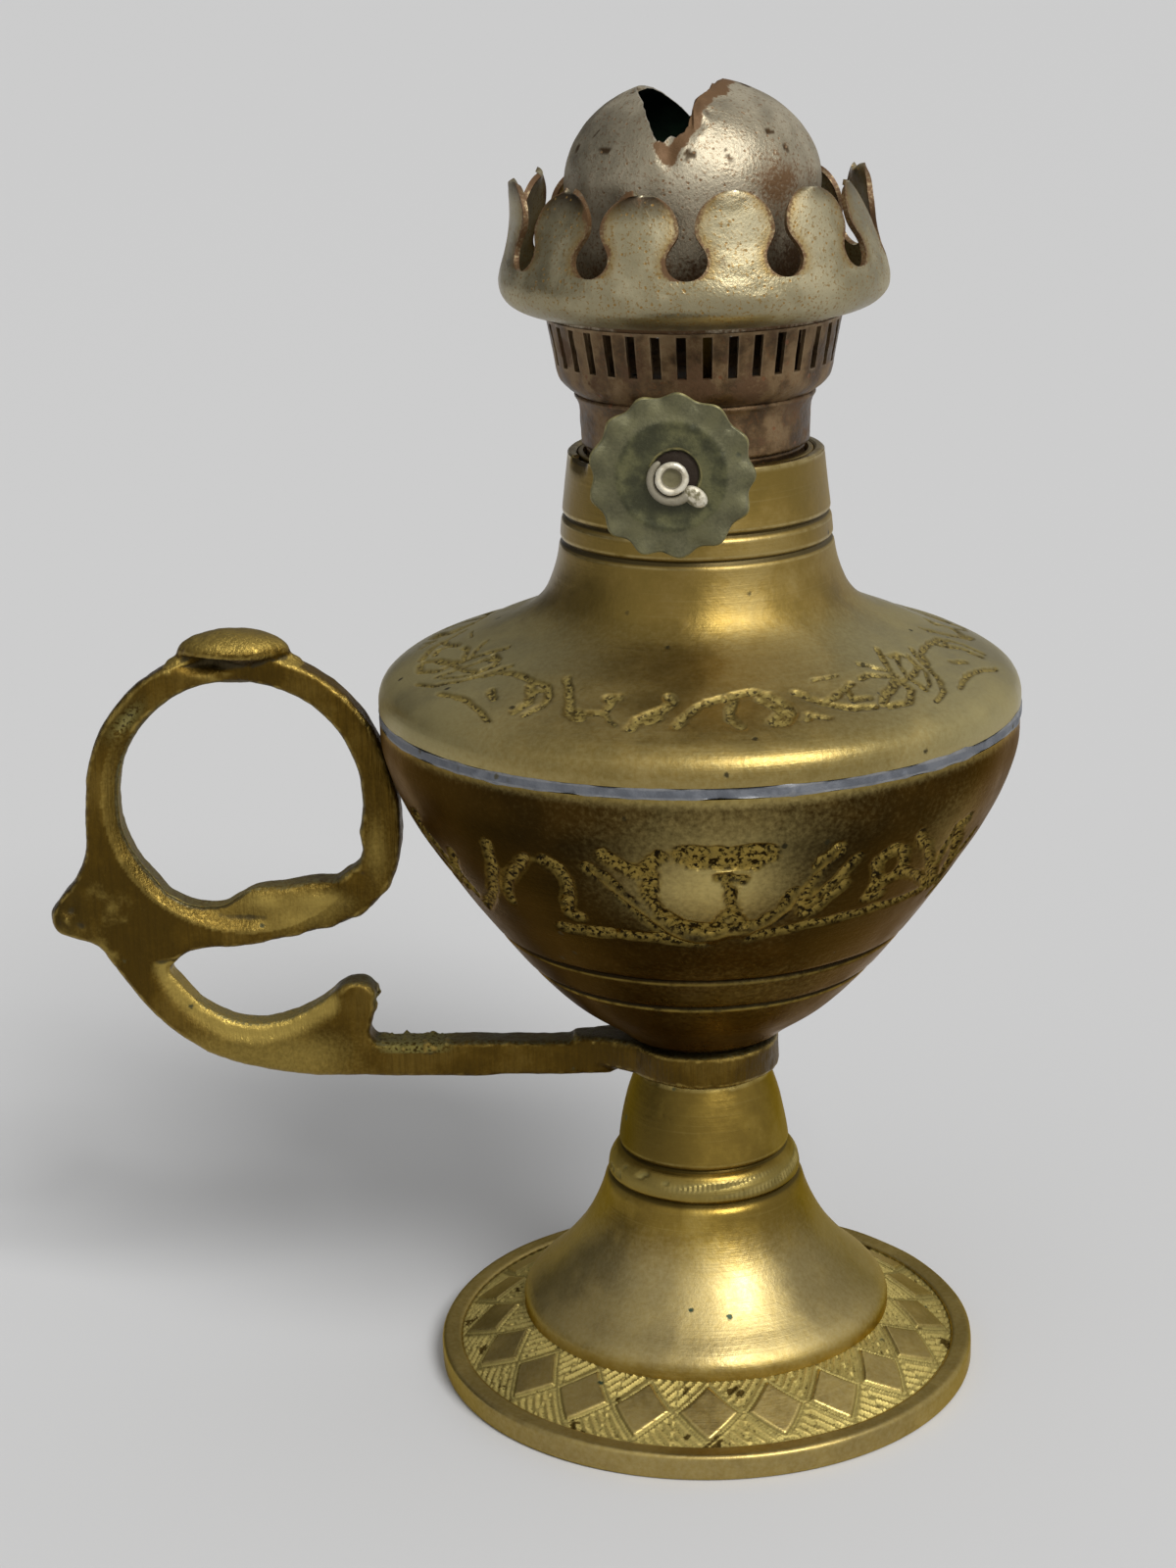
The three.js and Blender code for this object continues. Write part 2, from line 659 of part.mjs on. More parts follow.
// Pierced plate on the cup's upper lip, with two rings of air holes
function diffuserGeometry() {
  const radius = foldRadius - burnerWall - slipFit;
  const disc = turned([[0, galleryBase], [radius, galleryBase],
    [radius, galleryBase + plateThickness], [0, galleryBase + plateThickness]], burnerSegments);
  const holes = Array.from({ length: diffuserRings * diffuserHoleCount }, (_, i) => {
    const row = i % diffuserRings;
    return new THREE.CylinderGeometry(diffuserHoleRadius, diffuserHoleRadius, 2 * overrun,
      airHoleSides)
      .rotateX(Math.PI / 2)
      .translate(diffuserInnerRadius + row * diffuserRingPitch, 0, galleryBase)
      .rotateZ(((i + 0.5) * 2 * Math.PI) / (diffuserRings * diffuserHoleCount));
  });
  return cut(disc, [tubeCutter(galleryBase - overrun, 2 * overrun), ...holes]);
}

// Flat tube for the wick, with a window for each star wheel
function wickTubeGeometry() {
  const section = stadium(tubeHalfX, tubeHalfY, wickOffset);
  section.holes.push(stadium(tubeHalfX - tubeWall, tubeHalfY - tubeWall, wickOffset));
  const tube = flat(section, plateLevel, tubeTop - plateLevel, roundEndSegments);
  const windows = [-1, 1].map((side) => block(
    [tubeFace, (side * starSpacing) / 2, shaftLevel],
    [2 * tubeWall + wickFit, starThickness + 2 * starWindow, 2 * (starRadius - starWindow)],
  ));
  return cut(tube, windows);
}

// Small housing on the side of the wick tube, over the star wheels
function winderBoxGeometry() {
  const middle = tubeFace - seat - boxReach / 2;
  const outside = block([middle, 0, shaftLevel], [boxReach, boxLength, boxHeight]);
  const inside = block([middle + boxWall, 0, shaftLevel],
    [boxReach, boxLength - 2 * boxWall, boxHeight - 2 * boxWall]);
  const bore = new THREE.CylinderGeometry(bushBore, bushBore, boxLength + overrun, smallSegments)
    .translate(shaftOffset, 0, shaftLevel);
  return cut(outside, [inside, bore]);
}

// Spiked wheel on the shaft
function starWheelGeometry(middle) {
  const points = Array.from({ length: 2 * starSpikes }, (_, i) => {
    const radius = i % 2 ? starRadius * starRootShare : starRadius;
    const angle = (i * Math.PI) / starSpikes;
    return [radius * Math.cos(angle), radius * Math.sin(angle)];
  });
  const shape = polygon(points);
  shape.holes.push(new THREE.Path().absarc(0, 0, bushBore, 0, 2 * Math.PI, true));
  return upright(shape, starThickness, middle).translate(shaftOffset, 0, shaftLevel);
}

// Shaft from the rear of the box to its peened head in front of the clip
function shaftGeometry() {
  const rear = boxLength / 2 + shaftTail;
  const headBase = -(wheelOffset + wheelThickness / 2 + clipThickness + 3 * seat);
  const front = headBase - shaftHeadHeight;
  const round = shaftHeadHeight / 2;
  return turnedOnShaft([
    [0, front],
    [shaftHeadRadius - round, front],
    [shaftHeadRadius, front + round],
    [shaftHeadRadius, headBase],
    [shaftRadius, headBase],
    [shaftRadius, rear],
    [0, rear],
  ]);
}

// Bush in the cup's wall, with a collar on the outside
function bushGeometry() {
  const wallFace = -Math.sqrt(cupWaistRadius ** 2 - shaftOffset ** 2);
  const collar = wallFace - 2 * bushCollarThickness;
  const inner = wallFace + bushLength / 2;
  const outer = wallFace - bushLength / 2;
  return turnedOnShaft([
    [bushBore, outer],
    [bushOuter, outer],
    [bushOuter, collar],
    [bushCollarRadius, collar],
    [bushCollarRadius, collar + bushCollarThickness],
    [bushOuter, collar + bushCollarThickness],
    [bushOuter, inner],
    [bushBore, inner],
  ]);
}

// Stamped wheel with a scalloped edge and a raised ridge on its front
function thumbwheelGeometry() {
  const steps = 5 * wheelScallops;
  const shape = polygon(Array.from({ length: steps }, (_, i) => {
    const angle = (i * 2 * Math.PI) / steps;
    const radius = wheelRadius - (wheelScallopDepth * (1 - Math.cos(wheelScallops * angle))) / 2;
    return [radius * Math.cos(angle), radius * Math.sin(angle)];
  }));
  shape.holes.push(new THREE.Path().absarc(0, 0, bushBore, 0, 2 * Math.PI, true));
  const disc = upright(shape, wheelThickness, -wheelOffset).translate(shaftOffset, 0, shaftLevel);
  const face = -(wheelOffset + wheelThickness / 2);
  const ridge = turnedOnShaft([
    [wheelRidgeRadius - wheelRidgeWidth, face + wheelThickness / 2],
    [wheelRidgeRadius - wheelRidgeWidth, face],
    [wheelRidgeRadius, face - wheelRidgeHeight],
    [wheelRidgeRadius + wheelRidgeWidth, face],
    [wheelRidgeRadius + wheelRidgeWidth, face + wheelThickness / 2],
  ], 2 * smallSegments);
  return toGeometry(joined([disc, ridge]));
}

// Open clip with a lug, between the wheel and the shaft's head
function clipGeometry() {
  const middle = -(wheelOffset + wheelThickness / 2 + seat + clipThickness / 2);
  const lugTurn = THREE.MathUtils.degToRad(clipLugAngle);
  const from = lugTurn - Math.PI * 2 + THREE.MathUtils.degToRad(clipOpening);
  const shape = new THREE.Shape();
  shape.absarc(0, 0, clipRadius, from, lugTurn, false);
  shape.absarc(0, 0, clipBore, lugTurn, from, true);
  const lug = new THREE.Shape().absarc(clipLugReach * Math.cos(lugTurn),
    clipLugReach * Math.sin(lugTurn), clipLugRadius, 0, 2 * Math.PI, false);
  return toGeometry(joined([upright(shape, clipThickness, middle), upright(lug, clipThickness, middle)]))
    .translate(shaftOffset, 0, shaftLevel);
}

// Small tube that lets air into the font
function ventTubeGeometry() {
  return ring(ventRadius, ventBore, plateLevel + ventAbovePlate - ventLength, ventLength,
    smallSegments).translate(ventOffset, 0, 0);
}

// Woven tape that hangs from the top of its tube into the oil
function wickGeometry() {
  const section = stadium(wickThickness / 2, wickWidth / 2, wickOffset);
  return flat(section, wickEnd, wickTop - wickEnd, roundEndSegments);
}

// Crown: dished ring whose wall is cut into round-topped prongs with drop-shaped openings
function crownGeometry() {
  const tip = crownBase + crownHeight;
  const outline = smooth([
    ...between(crownDishShares, [crownFloorRadius, crownRadius], [crownBase, tip]),
    ...between(crownWallShares, [crownTipRadius, crownRadius], [crownBase, tip]),
  ], 6);
  const inside = inset(outline, crownWall)
    .filter(([, z]) => z > crownBase + crownWall && z < tip)
    .reverse();
  const shell = turned([
    [crownBore, crownBase],
    ...outline,
    [crownTipRadius - crownWall, tip],
    ...inside,
    [crownFloorRadius, crownBase + crownWall],
    [crownBore, crownBase + crownWall],
  ], burnerSegments);

  const dropLevel = crownBase + dropLevelShare * crownHeight;
  const neckLevel = crownBase + dropNeckShare * crownHeight;
  const halfPitch = (Math.PI * crownTipRadius) / prongCount;
  const halfNeck = dropNeckWidth / 2;
  const shoulderDrop = tip - neckLevel;
  const quarter = (side) => sweep(0, 90, quarterSteps).map((angle) =>
    [side * (halfPitch - (halfPitch - halfNeck) * Math.cos(angle)),
      neckLevel + shoulderDrop * Math.sin(angle)]);
  const neckAngle = THREE.MathUtils.radToDeg(Math.asin(halfNeck / dropRadius));
  const bulb = sweep(90 + neckAngle, 450 - neckAngle, bulbSteps).map((angle) =>
    [dropRadius * Math.cos(angle), dropLevel + dropRadius * Math.sin(angle)]);
  const outlineCut = [
    ...bulb,
    ...quarter(1),
    [halfPitch, tip + overrun],
    [-halfPitch, tip + overrun],
    ...quarter(-1).reverse(),
  ];
  const cutters = Array.from({ length: prongCount }, (_, i) =>
    upright(polygon(outlineCut), 2 * (crownRadius - crownTipRadius) + 2 * overrun, -crownTipRadius)
      .rotateZ(THREE.MathUtils.degToRad(prongTurn) + (i * 2 * Math.PI) / prongCount));
  return cut(shell, cutters);
}

// Dome: flange held between gallery and crown, upright side and flattened cap, with the
// flame slot torn open to a V
function domeGeometry() {
  const cap = (radius, rise) => sweep(0, 90, capSteps).slice(0, -1)
    .map((angle) => [radius * Math.cos(angle), domeSpring + rise * Math.sin(angle)]);
  const shell = turned([
    [0, domeSpring + domeRise - domeWall],
    ...cap(domeRadius - domeWall, domeRise - domeWall).reverse(),
    [domeRadius - domeWall, domeBase],
    [galleryRadius - domeFlangeInset, domeBase],
    [galleryRadius - domeFlangeInset, domeBase + domeWall],
    [domeRadius, domeBase + domeWall],
    ...cap(domeRadius, domeRise),
    [0, domeSpring + domeRise],
  ], burnerSegments);
  const tear = (shares, side) => upright(polygon(shares.map(([x, z]) =>
    [x * domeRadius, domeSpring + domeRise + z * domeRise])), domeRadius + overrun,
  (side * (domeRadius + overrun)) / 2);
  return cut(shell, [tear(slotFrontShares, -1), tear(slotBackShares, 1)]);
}

// Scene graph
function piece(parent, name, geometry, material) {
  const mesh = new THREE.Mesh(geometry, material);
  mesh.name = name;
  parent.add(mesh);
  return mesh;
}

const lamp = new THREE.Group();
const knobReach = -(ringX + Math.min(...knobShares.map(([x]) => x)) * fingerRingRadius);
lamp.position.x = (knobReach - fontRadius - solderProud) / 2;

const base = new THREE.Group();
piece(base, 'foot', footGeometry(), agedBrass);
piece(base, 'foot_stud', studGeometry(), brightSteel);
piece(base, 'foot_washer', washerGeometry(), brightSteel);
piece(base, 'foot_nut', nutGeometry(), brightSteel);
piece(base, 'handle', handleGeometry(), castBrass);

const font = new THREE.Group();
piece(font, 'bowl', bowlGeometry(), agedBrass);
piece(font, 'solder_seam', solderGeometry(), solder);
piece(font, 'shoulder', shoulderGeometry(), paleBrass);
piece(font, 'neck_collar', collarGeometry(), paleBrass);

const burner = new THREE.Group();
piece(burner, 'burner_thread', sleeveGeometry(), rustySteel);
piece(burner, 'burner_cup', cupGeometry(), rustySteel);
piece(burner, 'air_gallery', galleryGeometry(), rustySteel);
piece(burner, 'base_plate', basePlateGeometry(), rustySteel);
piece(burner, 'diffuser_plate', diffuserGeometry(), rustySteel);
piece(burner, 'wick_tube', wickTubeGeometry(), paleBrass);
piece(burner, 'winder_box', winderBoxGeometry(), rustySteel);
piece(burner, 'vent_tube', ventTubeGeometry(), paleBrass);
piece(burner, 'shaft_bush', bushGeometry(), rustySteel);
piece(burner, 'wick', wickGeometry(), cotton);

const winder = new THREE.Group();
piece(winder, 'winder_shaft', shaftGeometry(), brightSteel);
piece(winder, 'star_wheel_front', starWheelGeometry(-starSpacing / 2), brightSteel);
piece(winder, 'star_wheel_rear', starWheelGeometry(starSpacing / 2), brightSteel);
piece(winder, 'thumbwheel', thumbwheelGeometry(), wheelPatina);
piece(winder, 'wheel_clip', clipGeometry(), brightSteel);

const gallery = new THREE.Group();
piece(gallery, 'crown', crownGeometry(), platedSteel);
piece(gallery, 'dome', domeGeometry(), platedSteel);

burner.add(winder, gallery);
lamp.add(base, font, burner);

export default lamp;
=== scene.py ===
"""Brass kerosene lamp: the looks of the part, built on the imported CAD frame.

Lengths are millimetres about the lamp's axis until a mesh is made. Blender gets metres in the
frame's own place.
"""
from __future__ import annotations

import logging
import math
import sys
from dataclasses import dataclass, field
from enum import Enum
from typing import Callable, Sequence

import bpy
import numpy as np
from mathutils import Matrix, Vector

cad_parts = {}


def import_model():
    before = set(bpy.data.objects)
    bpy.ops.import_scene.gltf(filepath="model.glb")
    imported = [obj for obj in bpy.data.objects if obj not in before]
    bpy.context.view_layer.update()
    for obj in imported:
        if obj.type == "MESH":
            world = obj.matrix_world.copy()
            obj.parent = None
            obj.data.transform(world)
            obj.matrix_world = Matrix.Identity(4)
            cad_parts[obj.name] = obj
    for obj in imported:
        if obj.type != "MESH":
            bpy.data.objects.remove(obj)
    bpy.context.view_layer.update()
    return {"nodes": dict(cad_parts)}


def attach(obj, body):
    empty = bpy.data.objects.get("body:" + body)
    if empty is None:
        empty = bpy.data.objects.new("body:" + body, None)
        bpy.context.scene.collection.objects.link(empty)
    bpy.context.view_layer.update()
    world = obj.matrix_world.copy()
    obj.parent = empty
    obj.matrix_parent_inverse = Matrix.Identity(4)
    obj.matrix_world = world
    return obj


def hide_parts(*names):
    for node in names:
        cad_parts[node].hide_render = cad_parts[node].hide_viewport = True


LOG = logging.getLogger("lamp")
Grid = np.ndarray
Looks = tuple[Grid, Grid, Grid]
Relief = Callable[[Grid, Grid, Grid, Grid], Looks]
Line = Sequence[Sequence[float]]
Colour = tuple[float, float, float, float]
Piece = bpy.types.Object
Socket = bpy.types.NodeSocket
MM = 0.001
AXIS_X = 18.46676
AXIS = np.array([AXIS_X, 0, 0])


class Body(Enum):
    """Names of the frame's moving bodies."""

    FONT = "font"
    SCREW = "screw"
    BURNER = "burner"
    WINDER = "winder"
    WICK = "wick"
    GALLERY = "gallery"


class Slot(Enum):
    """Names of the record's material slots."""

    AGED = "aged_brass"
    PALE = "pale_brass"
    CAST = "cast_brass"
    SOLDER = "solder"
    RUSTY = "rusty_steel"
    PLATED = "plated_steel"
    PATINA = "wheel_patina"
    BRIGHT = "bright_steel"
    COTTON = "cotton"


# Curves, noise and grids


def smooth_curve(places: Line, count: int) -> Grid:
    """Spread points along a smooth curve through places.

    Formula: cubic Hermite pieces over the chord length, with central slopes at the places.

    Args:
        places: points of the curve.
        count: how many points to return.

    Returns:
        Array of count points.
    """
    knots = np.asarray(places, float)
    reach = np.r_[0, np.cumsum(np.linalg.norm(np.diff(knots, axis=0), axis=1))]
    slope = np.gradient(knots, reach, axis=0)
    at = np.linspace(0, reach[-1], count)
    k = np.clip(np.searchsorted(reach, at, side="right") - 1, 0, len(reach) - 2)
    run = (reach[k + 1] - reach[k])[:, None]
    u = (at - reach[k])[:, None] / run
    rise = 3 * u**2 - 2 * u**3
    bend = run * (slope[k] * (u**3 - 2 * u**2 + u) + slope[k + 1] * (u**3 - u**2))
    return knots[k] * (1 - rise) + knots[k + 1] * rise + bend


def spaced(places: Line, spacing: float) -> Grid:
    """Spread points evenly along straight runs between places.

    Formula: each run is cut into equal steps no longer than the spacing; corners stay.

    Args:
        places: corners of the line.
        spacing: longest step.

    Returns:
        Array of points.
    """
    knots = np.asarray(places, float)
    runs = []
    for a, b in zip(knots[:-1], knots[1:]):
        steps = max(1, math.ceil(np.linalg.norm(b - a) / spacing))
        runs.append(a + (b - a) * np.linspace(0, 1, steps, endpoint=False)[:, None])
    return np.vstack([*runs, knots[-1:]])


def arc(middle: tuple[float, float], radius: float, start: float, end: float, steps: int) -> Grid:
    """Return points of a circle's arc between two angles in degrees."""
    turn = np.radians(np.linspace(start, end, steps + 1))
    return np.c_[middle[0] + radius * np.cos(turn), middle[1] + radius * np.sin(turn)]


def between(shares: Line, radii: Sequence[float], levels: Sequence[float]) -> Grid:
    """Turn shares into places between two radii and two levels."""
    part = np.asarray(shares, float)
    return np.c_[radii[0] + part[:, 0] * (radii[1] - radii[0]),
                 levels[0] + part[:, 1] * (levels[1] - levels[0])]


def ramp(value: Grid, low: float, high: float) -> Grid:
    """Rise smoothly from 0 at low to 1 at high: 3t squared less 2t cubed."""
    t = np.clip((value - low) / (high - low), 0, 1)
    return t * t * (3 - 2 * t)


def bell(*spans: tuple[Grid, float, float]) -> Grid:
    """Return a bell curve: e to minus the sum of squared (value - middle) / width."""
    return np.exp(-sum(((value - middle) / width) ** 2 for value, middle, width in spans))


def noise(points: Grid, size: float, seed: int, octaves: int = 1) -> Grid:
    """Random waves in space, the same on every run.

    Formula: fixed random numbers at the corners of cubic cells, blended by a smooth step along
    each axis; each further octave has half the size and half the height.

    Args:
        points: places, an array whose last axis is X, Y and Z.
        size: width of the largest cells.
        seed: which pattern.
        octaves: how many sizes are added.

    Returns:
        Values near -1 to 1, one for each point.
    """
    total = np.zeros(points.shape[:-1])
    height = 1.0
    for octave in range(octaves):
        place = points / size * 2**octave + 17.3 * seed
        cell = np.floor(place).astype(np.int64)
        part = place - cell
        part = part * part * (3 - 2 * part)
        for corner in range(8):
            bits = np.array([corner & 1, corner >> 1 & 1, corner >> 2 & 1])
            key = (cell + bits) @ np.array([73856093, 19349663, 83492791]) + seed * 2654435761
            key = (key ^ key >> 13) * 1274126177 & 0x7FFFFFFF
            key = (key ^ key >> 16) & 0xFFFF
            total += height * np.prod(np.where(bits, part, 1 - part), axis=-1) * (key / 32767.5 - 1)
        height /= 2
    return total


@dataclass
class Surface:
    """Points, four-sided faces, named values and flat many-sided caps of a surface."""

    points: Grid
    faces: Grid
    fields: dict[str, Grid] = field(default_factory=dict)
    caps: list[list[int]] = field(default_factory=list)

    def turned_over(self) -> "Surface":
        """Return the surface with its faces pointing the other way."""
        return Surface(self.points, self.faces[:, ::-1], self.fields,
                       [cap[::-1] for cap in self.caps])


def over_grid(points: Grid, close_rows: bool = False, close_columns: bool = True,
              **fields: Grid) -> Surface:
    """Lay a surface over a grid of places, its faces row after row.

    Args:
        points: places in rows and columns, with X, Y and Z on the last axis.
        close_rows: whether the last row joins the first.
        close_columns: whether the last column joins the first.
        fields: named values at the places.

    Returns:
        The surface.
    """
    rows, columns, _ = points.shape
    i, j = np.indices((rows - (not close_rows), columns - (not close_columns)))
    up, on = (i + 1) % rows, (j + 1) % columns
    faces = np.stack([i * columns + j, i * columns + on, up * columns + on, up * columns + j], -1)
    return Surface(points.reshape(-1, 3), faces.reshape(-1, 4),
                   {name: value.ravel() for name, value in fields.items()})


def together(*surfaces: Surface) -> Surface:
    """Join surfaces into one list of points and faces; missing values count as zero."""
    names = {name for part in surfaces for name in part.fields}
    starts = np.r_[0, np.cumsum([len(part.points) for part in surfaces])]
    return Surface(
        np.vstack([part.points for part in surfaces]),
        np.vstack([part.faces + start for part, start in zip(surfaces, starts)]),
        {name: np.concatenate([part.fields.get(name, np.zeros(len(part.points)))
                               for part in surfaces]) for name in names})


def stacked(*parts: Grid) -> Grid:
    """Stack grids of X, Y and Z into a grid of places."""
    return np.stack(np.broadcast_arrays(*parts), -1)


def around_axis(turn: Grid, radius: Grid, level: Grid) -> Grid:
    """Turn angle, radius and level into places, with X, Y and Z on the last axis."""
    return np.stack([radius * np.cos(turn), radius * np.sin(turn), level], -1)


def polar(points: Grid) -> Looks:
    """Turn rows of places into angles, radii and levels."""
    x, y, z = points.T
    return np.arctan2(y, x), np.hypot(x, y), z


def swept(line: Grid, angle: Grid) -> Looks:
    """Spread a line's radii and levels over angles; return angle, radius and level."""
    turn, radius = np.meshgrid(angle, line[:, 0])
    return turn, radius, np.meshgrid(angle, line[:, 1])[1]


def turned(outline: Grid, around: int, relief: Relief | None = None,
           closed: bool = True) -> Surface:
    """Turn an outline round the Z axis.

    Formula: point = (r cos a, r sin a, z), where outline point (r, z) is first moved along the
    outline's own normal by the height that the relief gives there.

    Args:
        outline: points in radius and height, anticlockwise round the material.
        around: number of points round the axis.
        relief: gives height, carved share and stained share at place, angle, radius and level.
        closed: whether the outline's end joins its start.

    Returns:
        The surface, with the values carved and stain.
    """
    line = outline[:-1] if closed and np.allclose(outline[0], outline[-1]) else outline
    if closed:
        run = np.roll(line, -1, axis=0) - np.roll(line, 1, axis=0)
    else:
        run = np.gradient(line, axis=0)
    run /= np.maximum(np.linalg.norm(run, axis=1, keepdims=True), 1e-9)
    turn, radius, level = swept(line, np.linspace(0, 2 * math.pi, around, endpoint=False))
    height, carved, stain = np.zeros((3, *turn.shape))
    if relief:
        height, carved, stain = relief(around_axis(turn, radius, level), turn, radius, level)
    radius = np.maximum(radius + height * run[:, 1:2], 0)
    points = around_axis(turn, radius, level - height * run[:, 0:1])
    return over_grid(points, closed, carved=carved, stain=stain)


def ball() -> Surface:
    """Return a ball of radius 1: a half circle turned round Z."""
    return turned(arc((0, 0), 1, -90, 90, 12), 24, closed=False)


def thread(levels: Grid, radius: float, height: float, pitch: float) -> Grid:
    """Return a line of thread ridges: the radius follows a sawtooth of the level."""
    return np.c_[radius + height * np.abs((levels / pitch) % 1 * 2 - 1), levels]


def paced(line: Grid, pace: Grid) -> Grid:
    """Space a fine line's points anew.

    Formula: the steps passed are the length divided by the local pace, added up, and a point is
    set at each whole step.

    Args:
        line: a fine line.
        pace: wanted spacing at each of its points.

    Returns:
        Array of points, from the line's start to its end.
    """
    run = np.linalg.norm(np.diff(line, axis=0), axis=1)
    steps = np.r_[0, np.cumsum(run / pace[:-1])]
    at = np.linspace(0, steps[-1], math.ceil(steps[-1]) + 1)
    return np.c_[np.interp(at, steps, line[:, 0]), np.interp(at, steps, line[:, 1])]


def inset(line: Grid, wall: float) -> Grid:
    """Move an outline inward by a wall along its own normals."""
    run = np.gradient(line, axis=0)
    run /= np.linalg.norm(run, axis=1, keepdims=True)
    return line - wall * np.c_[run[:, 1], -run[:, 0]]


def grooved(line: Grid, level: float, depth: float = 0.4, width: float = 0.32) -> Grid:
    """Cut a rounded groove into an outline: the radius loses a bell curve of the level."""
    cut = line.copy()
    cut[:, 0] -= depth * bell((line[:, 1], level, width))
    return cut


def outline_of(*parts: Grid) -> Grid:
    """Chain pieces of an outline and drop repeated points."""
    line = np.vstack(parts)
    keep = np.r_[True, np.linalg.norm(np.diff(line, axis=0), axis=1) > 1e-4]
    return line[keep]


def stroke_mask(spots: Grid, strokes: Sequence[Sequence], period: float, soft: float,
                widen: float = 0) -> Grid:
    """How deep each place lies inside drawn strokes.

    Formula: the distance to each straight piece of a stroke, wrapped round the period in the
    first direction, gives 1 inside the stroke's half width and falls to 0 over the soft edge.

    Args:
        spots: flat places, an array of rows of two.
        strokes: half width followed by the stroke's points.
        period: length after which the drawing repeats.
        soft: width of the soft edge.
        widen: added to every half width.

    Returns:
        Values from 0 to 1.
    """
    mask = np.zeros(len(spots))
    for half, *line in strokes:
        for a, b in zip(np.asarray(line[:-1], float), np.asarray(line[1:], float)):
            away = spots - a
            away[:, 0] = (away[:, 0] + period / 2) % period - period / 2
            run = b - a
            share = np.clip(away @ run / (run @ run), 0, 1)
            far = np.linalg.norm(away - share[:, None] * run, axis=1)
            mask = np.maximum(mask, 1 - ramp(far, half + widen - soft, half + widen + soft))
    return mask


# Meshes


def read_values(items: bpy.types.bpy_prop_collection, key: str, wide: int = 3,
                kind: type = float) -> Grid:
    """Return what each item of a mesh holds, in rows of the given width."""
    flat = np.empty(len(items) * wide, kind)
    items.foreach_get(key, flat)
    return flat.reshape(-1, wide)


def write_values(mesh: bpy.types.Mesh, values: dict[str, Grid]) -> None:
    """Write named values on a mesh's points."""
    for name, value in values.items():
        layer = mesh.attributes.new(name, "FLOAT", "POINT")
        layer.data.foreach_set("value", np.asarray(value, np.float32))


def lamp_places(items: bpy.types.bpy_prop_collection, key: str = "co") -> Grid:
    """Return places of a mesh in millimetres about the lamp's axis."""
    return read_values(items, key) / MM - AXIS


def set_places(mesh: bpy.types.Mesh, place: Grid) -> None:
    """Move a mesh's points to places in millimetres about the lamp's axis."""
    mesh.vertices.foreach_set("co", ((place + AXIS) * MM).ravel())


def linked(name: str, data: bpy.types.ID) -> Piece:
    """Return a new object of the data, linked to the scene."""
    obj = bpy.data.objects.new(name, data)
    bpy.context.scene.collection.objects.link(obj)
    return obj


def evaluated(obj: Piece) -> bpy.types.Mesh:
    """Return an object's mesh with its modifiers' result."""
    graph = bpy.context.evaluated_depsgraph_get()
    return bpy.data.meshes.new_from_object(obj.evaluated_get(graph))


def neighbour_mean(values: Grid, edges: Grid) -> Grid:
    """Average each point's value with those of the points next to it."""
    count = len(values)
    share = np.bincount(edges.ravel(), minlength=count) + 1.0
    total = values.copy()
    for column in range(values.shape[1]):
        total[:, column] += np.bincount(edges[:, 0], values[edges[:, 1], column], count)
        total[:, column] += np.bincount(edges[:, 1], values[edges[:, 0], column], count)
    return total / share[:, None]


def mark_edges(mesh: bpy.types.Mesh, reach: float) -> None:
    """Write how sharply the surface bends outward or inward at each point.

    Formula: the place less its own smoothed place, along the normal, over the number of
    smoothings and the squared length of the edges there, estimates the bend in turns per
    millimetre; bends gentler than a radius of about two millimetres count as none.

    Args:
        mesh: the finished mesh, in metres.
        reach: width of the smoothing in millimetres.
    """
    place = read_values(mesh.vertices, "co") / MM
    normal = read_values(mesh.vertex_normals, "vector")
    edges = read_values(mesh.edges, "vertices", 2, np.int32)
    count = len(place)
    square = np.sum((place[edges[:, 0]] - place[edges[:, 1]]) ** 2, axis=1)
    share = np.maximum(np.bincount(edges.ravel(), minlength=count), 1)
    local = np.bincount(edges.ravel(), np.repeat(square, 2), count) / share
    rounds = int(np.clip(reach**2 / np.median(square), 2, 16))
    soft = place
    for _ in range(rounds):
        soft = neighbour_mean(soft, edges)
    bend = np.sum((place - soft) * normal, axis=1) * 5 / (rounds * local + 1e-6)
    for name, value in (("edge", bend), ("hollow", -bend)):
        share = np.clip((value[:, None] - 0.45) / 1.2, 0, 1)
        write_values(mesh, {name: neighbour_mean(share, edges)[:, 0]})


